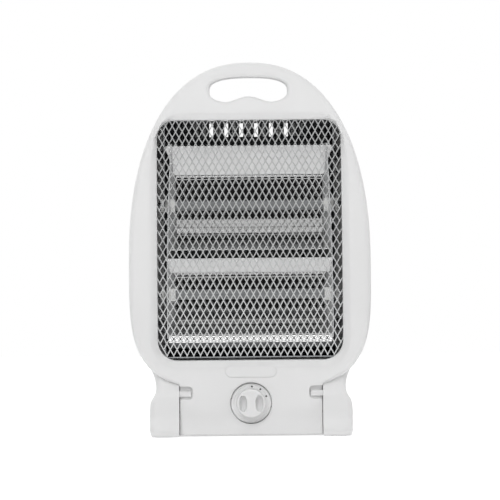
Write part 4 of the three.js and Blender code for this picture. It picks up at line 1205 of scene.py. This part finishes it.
# The knob's face is a height above its back, with two finger scoops beside the grip bar.
def makeKnob():
    k = controls
    back = frontFace(k["height"]) + k["knobSink"]
    halfX, halfZ = k["scoopHalf"]
    power = k["scoopPower"]

    def height(x, z):
        dz = z - k["height"]
        rise = k["knobDepth"] - k["crown"] * (x * x + dz * dz) / k["knobRadius"] ** 2
        for hand in (-1, 1):
            reach = abs((x - hand * k["scoopX"]) / halfX) ** power + abs(dz / halfZ) ** power
            rise -= k["scoopDepth"] * max(0, 1 - reach) ** k["scoopWall"]
        return back - rise

    def ring(radius, y):
        return [(x, y, z) for x, z in circle(0, k["height"], radius, 96)]
    edge, radius, (bore, boreDepth) = k["knobEdge"], k["knobRadius"], k["knobBore"]
    inner = radius - k["taper"] - edge
    top = height(*circle(0, k["height"], inner, 96)[24])
    rings = [ring(bore, back), ring(radius - 0.3, back), ring(radius, back - 0.3)]
    for i in range(9):
        angle = pi / 2 * i / 8
        rings.append(ring(inner + edge * cos(angle), top + edge * (1 - sin(angle))))
    rings[-1] = [(x, height(x, z), z) for x, _, z in rings[-1]]
    bm = bmesh.new()
    lace(bm, rings)
    fillFace(bm, circle(0, k["height"], inner, 96), [], k["knobStep"], height)
    lace(bm, [ring(bore, back), ring(bore, back - boreDepth)])
    cap(bm, ring(bore, back - boreDepth))
    closeUp(bm, 0.003)
    return pieceFrom("knob_cap", bm)


# A plain pill-shaped plate, pillowed, with nothing on it.
def makeBadge():
    half, end, middle = controls["badge"]
    _, height, radius = arcs["front"]

    def outline(offset):
        corner = end + offset
        return roundedBar(half + offset, middle - corner, middle + corner, corner, corner, 14, 2)

    def face(z, rise):
        return frontFace(middle) - controls["badgeLift"] - rise + (z - middle) * (middle - height) / radius
    bm = bmesh.new()
    profile = controls["badgeProfile"]
    loops = [[(x, face(z, rise), z) for x, z in outline(offset)] for offset, rise in profile]
    lace(bm, loops)
    offset, rise = profile[-1]
    fillFace(bm, outline(offset), [], controls["badgeStep"], lambda x, z: face(z, rise))
    cap(bm, loops[0])
    closeUp(bm, 0.003)
    return pieceFrom("badge_blank", bm)


settle(makeDial(), "casing", "casing", "dial_plate", limit=50)
settle(makeDots(), "dark_plastic", "casing")
settle(makeKnob(), "casing", "knob", "knob", limit=50)
settle(makeBadge(), "casing", "casing", "badge_plate")
print("controls made")

screws = {
    "head": 3.3, "headDepth": 2.1, "shank": 1.6, "length": 9.6, "thread": 0.28, "pitch": 1.3,
    "threadStart": 0.6, "threadEnd": 8.6, "recess": (0.75, 3.6, 1.1),  # width, length and depth of its cross
    "dome": ((0.01, 0), (1.4, 0.08), (2.5, 0.5)), "headRim": 0.9, "point": 0.6, "seatInset": 2.2,
}


# The head is domed, with a cross recess; the thread is a stack of coarse ridges.
def screwShape():
    s = screws
    top, root = -s["headDepth"], s["shank"] - s["thread"]
    profile = [*[(radius, top + drop) for radius, drop in s["dome"]], (s["head"], -s["headRim"]),
               (s["head"], 0), (s["shank"], 0)]
    along = s["threadStart"]
    while along < s["threadEnd"]:
        profile += [(root, along), (s["shank"], along + s["pitch"] / 2)]
        along += s["pitch"]
    profile += [(root, s["length"] - s["point"]), (0.01, s["length"])]
    head = latheMesh("screw", profile, (0, 0, 0), upZ, 20, closed=False)
    width, length, depth = s["recess"]
    bars = ((width / 2, length / 2), (length / 2, width / 2))
    cutAway(head, *[blockTool(-x, x, -y, y, top - 1, depth + top) for x, y in bars])
    return head


# Puts the shape on each point, turned by the point's own attribute.
def scatterTree(inputs):
    tree, given = newTree("screws on their seats", inputs)
    shape = addNode(tree, "GeometryNodeObjectInfo", {"Object": given["Shape"]})
    turn = addNode(tree, "GeometryNodeInputNamedAttribute", {"Name": "turn"}, data_type="FLOAT_VECTOR")
    placed = addNode(tree, "GeometryNodeInstanceOnPoints", {
        "Points": given["Geometry"], "Instance": shape.outputs["Geometry"],
        "Rotation": turn.outputs["Attribute"]})
    closeTree(tree, placed, given["Material"])
    return tree


# Where a screw's head seats, and how the screw is turned, from its box in the CAD.
def screwSeat(node):
    low, high = (Vector(corner) * 1000 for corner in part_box(node))
    middle, inset = (low + high) / 2, screws["seatInset"]
    if node.startswith(("casing", "shield")):
        return (middle.x, high.y - inset, middle.z), (pi / 2, 0, 0)
    if node.startswith("base"):
        return (middle.x, middle.y, low.z + inset), (0, 0, 0)
    hand = 1 if middle.x > 0 else -1
    headX = low.x if hand > 0 else high.x
    return (headX + hand * inset, middle.y, middle.z), (0, hand * pi / 2, 0)


def makeScrews():
    names = [node for node in sorted(frame["nodes"]) if "_screw_" in node]
    seats = [screwSeat(node) for node in names]
    shape = screwShape()
    mesh = bpy.data.meshes.new("screws")
    mesh.from_pydata([Vector(place) / 1000 for place, _ in seats], [], [])
    turn = mesh.attributes.new("turn", "FLOAT_VECTOR", "POINT")
    for i, (_, angles) in enumerate(seats):
        turn.data[i].vector = angles
    piece = newObject("screws", mesh)
    inputs = {"Shape": shape, "Material": materials["steel"]}
    grow(piece, scatterTree(inputs), inputs)
    bpy.data.objects.remove(shape)
    settle(piece, "steel", "casing", *names)


makeScrews()
print("screws made")


# A small part that keeps its CAD shape, with broken edges.
def softened(name, node, widthMm, slot):
    bm = bmesh.new()
    bm.from_mesh(frame["nodes"][node].data)
    bmesh.ops.remove_doubles(bm, verts=bm.verts, dist=1e-6)
    bmesh.ops.dissolve_limit(bm, angle_limit=radians(1), verts=bm.verts, edges=bm.edges)
    piece = objectFrom(name, bm)
    bevel(piece, widthMm, 2)
    settle(piece, slot, "casing", node)


for level in ("upper", "lower"):
    for side in ("left", "right"):
        softened(f"end_block_{level}_{side}", f"ceramic_block_{level}_{side}", 0.5, "ceramic")
for node, widthMm, slot in (("microswitch", 0.5, "dark_plastic"), ("terminal_block", 0.6, "light_plastic"),
                            ("rotary_switch", 0.4, "dark_plastic"), ("base_plate", 0.4, "light_plastic")):
    softened(node + "_edged", node, widthMm, slot)
for hand in ("left", "right"):
    for end in ("front", "rear"):
        softened(f"pad_{hand}_{end}", f"sole_{hand}_{end}", 0.6, "rubber")
print("small parts made")
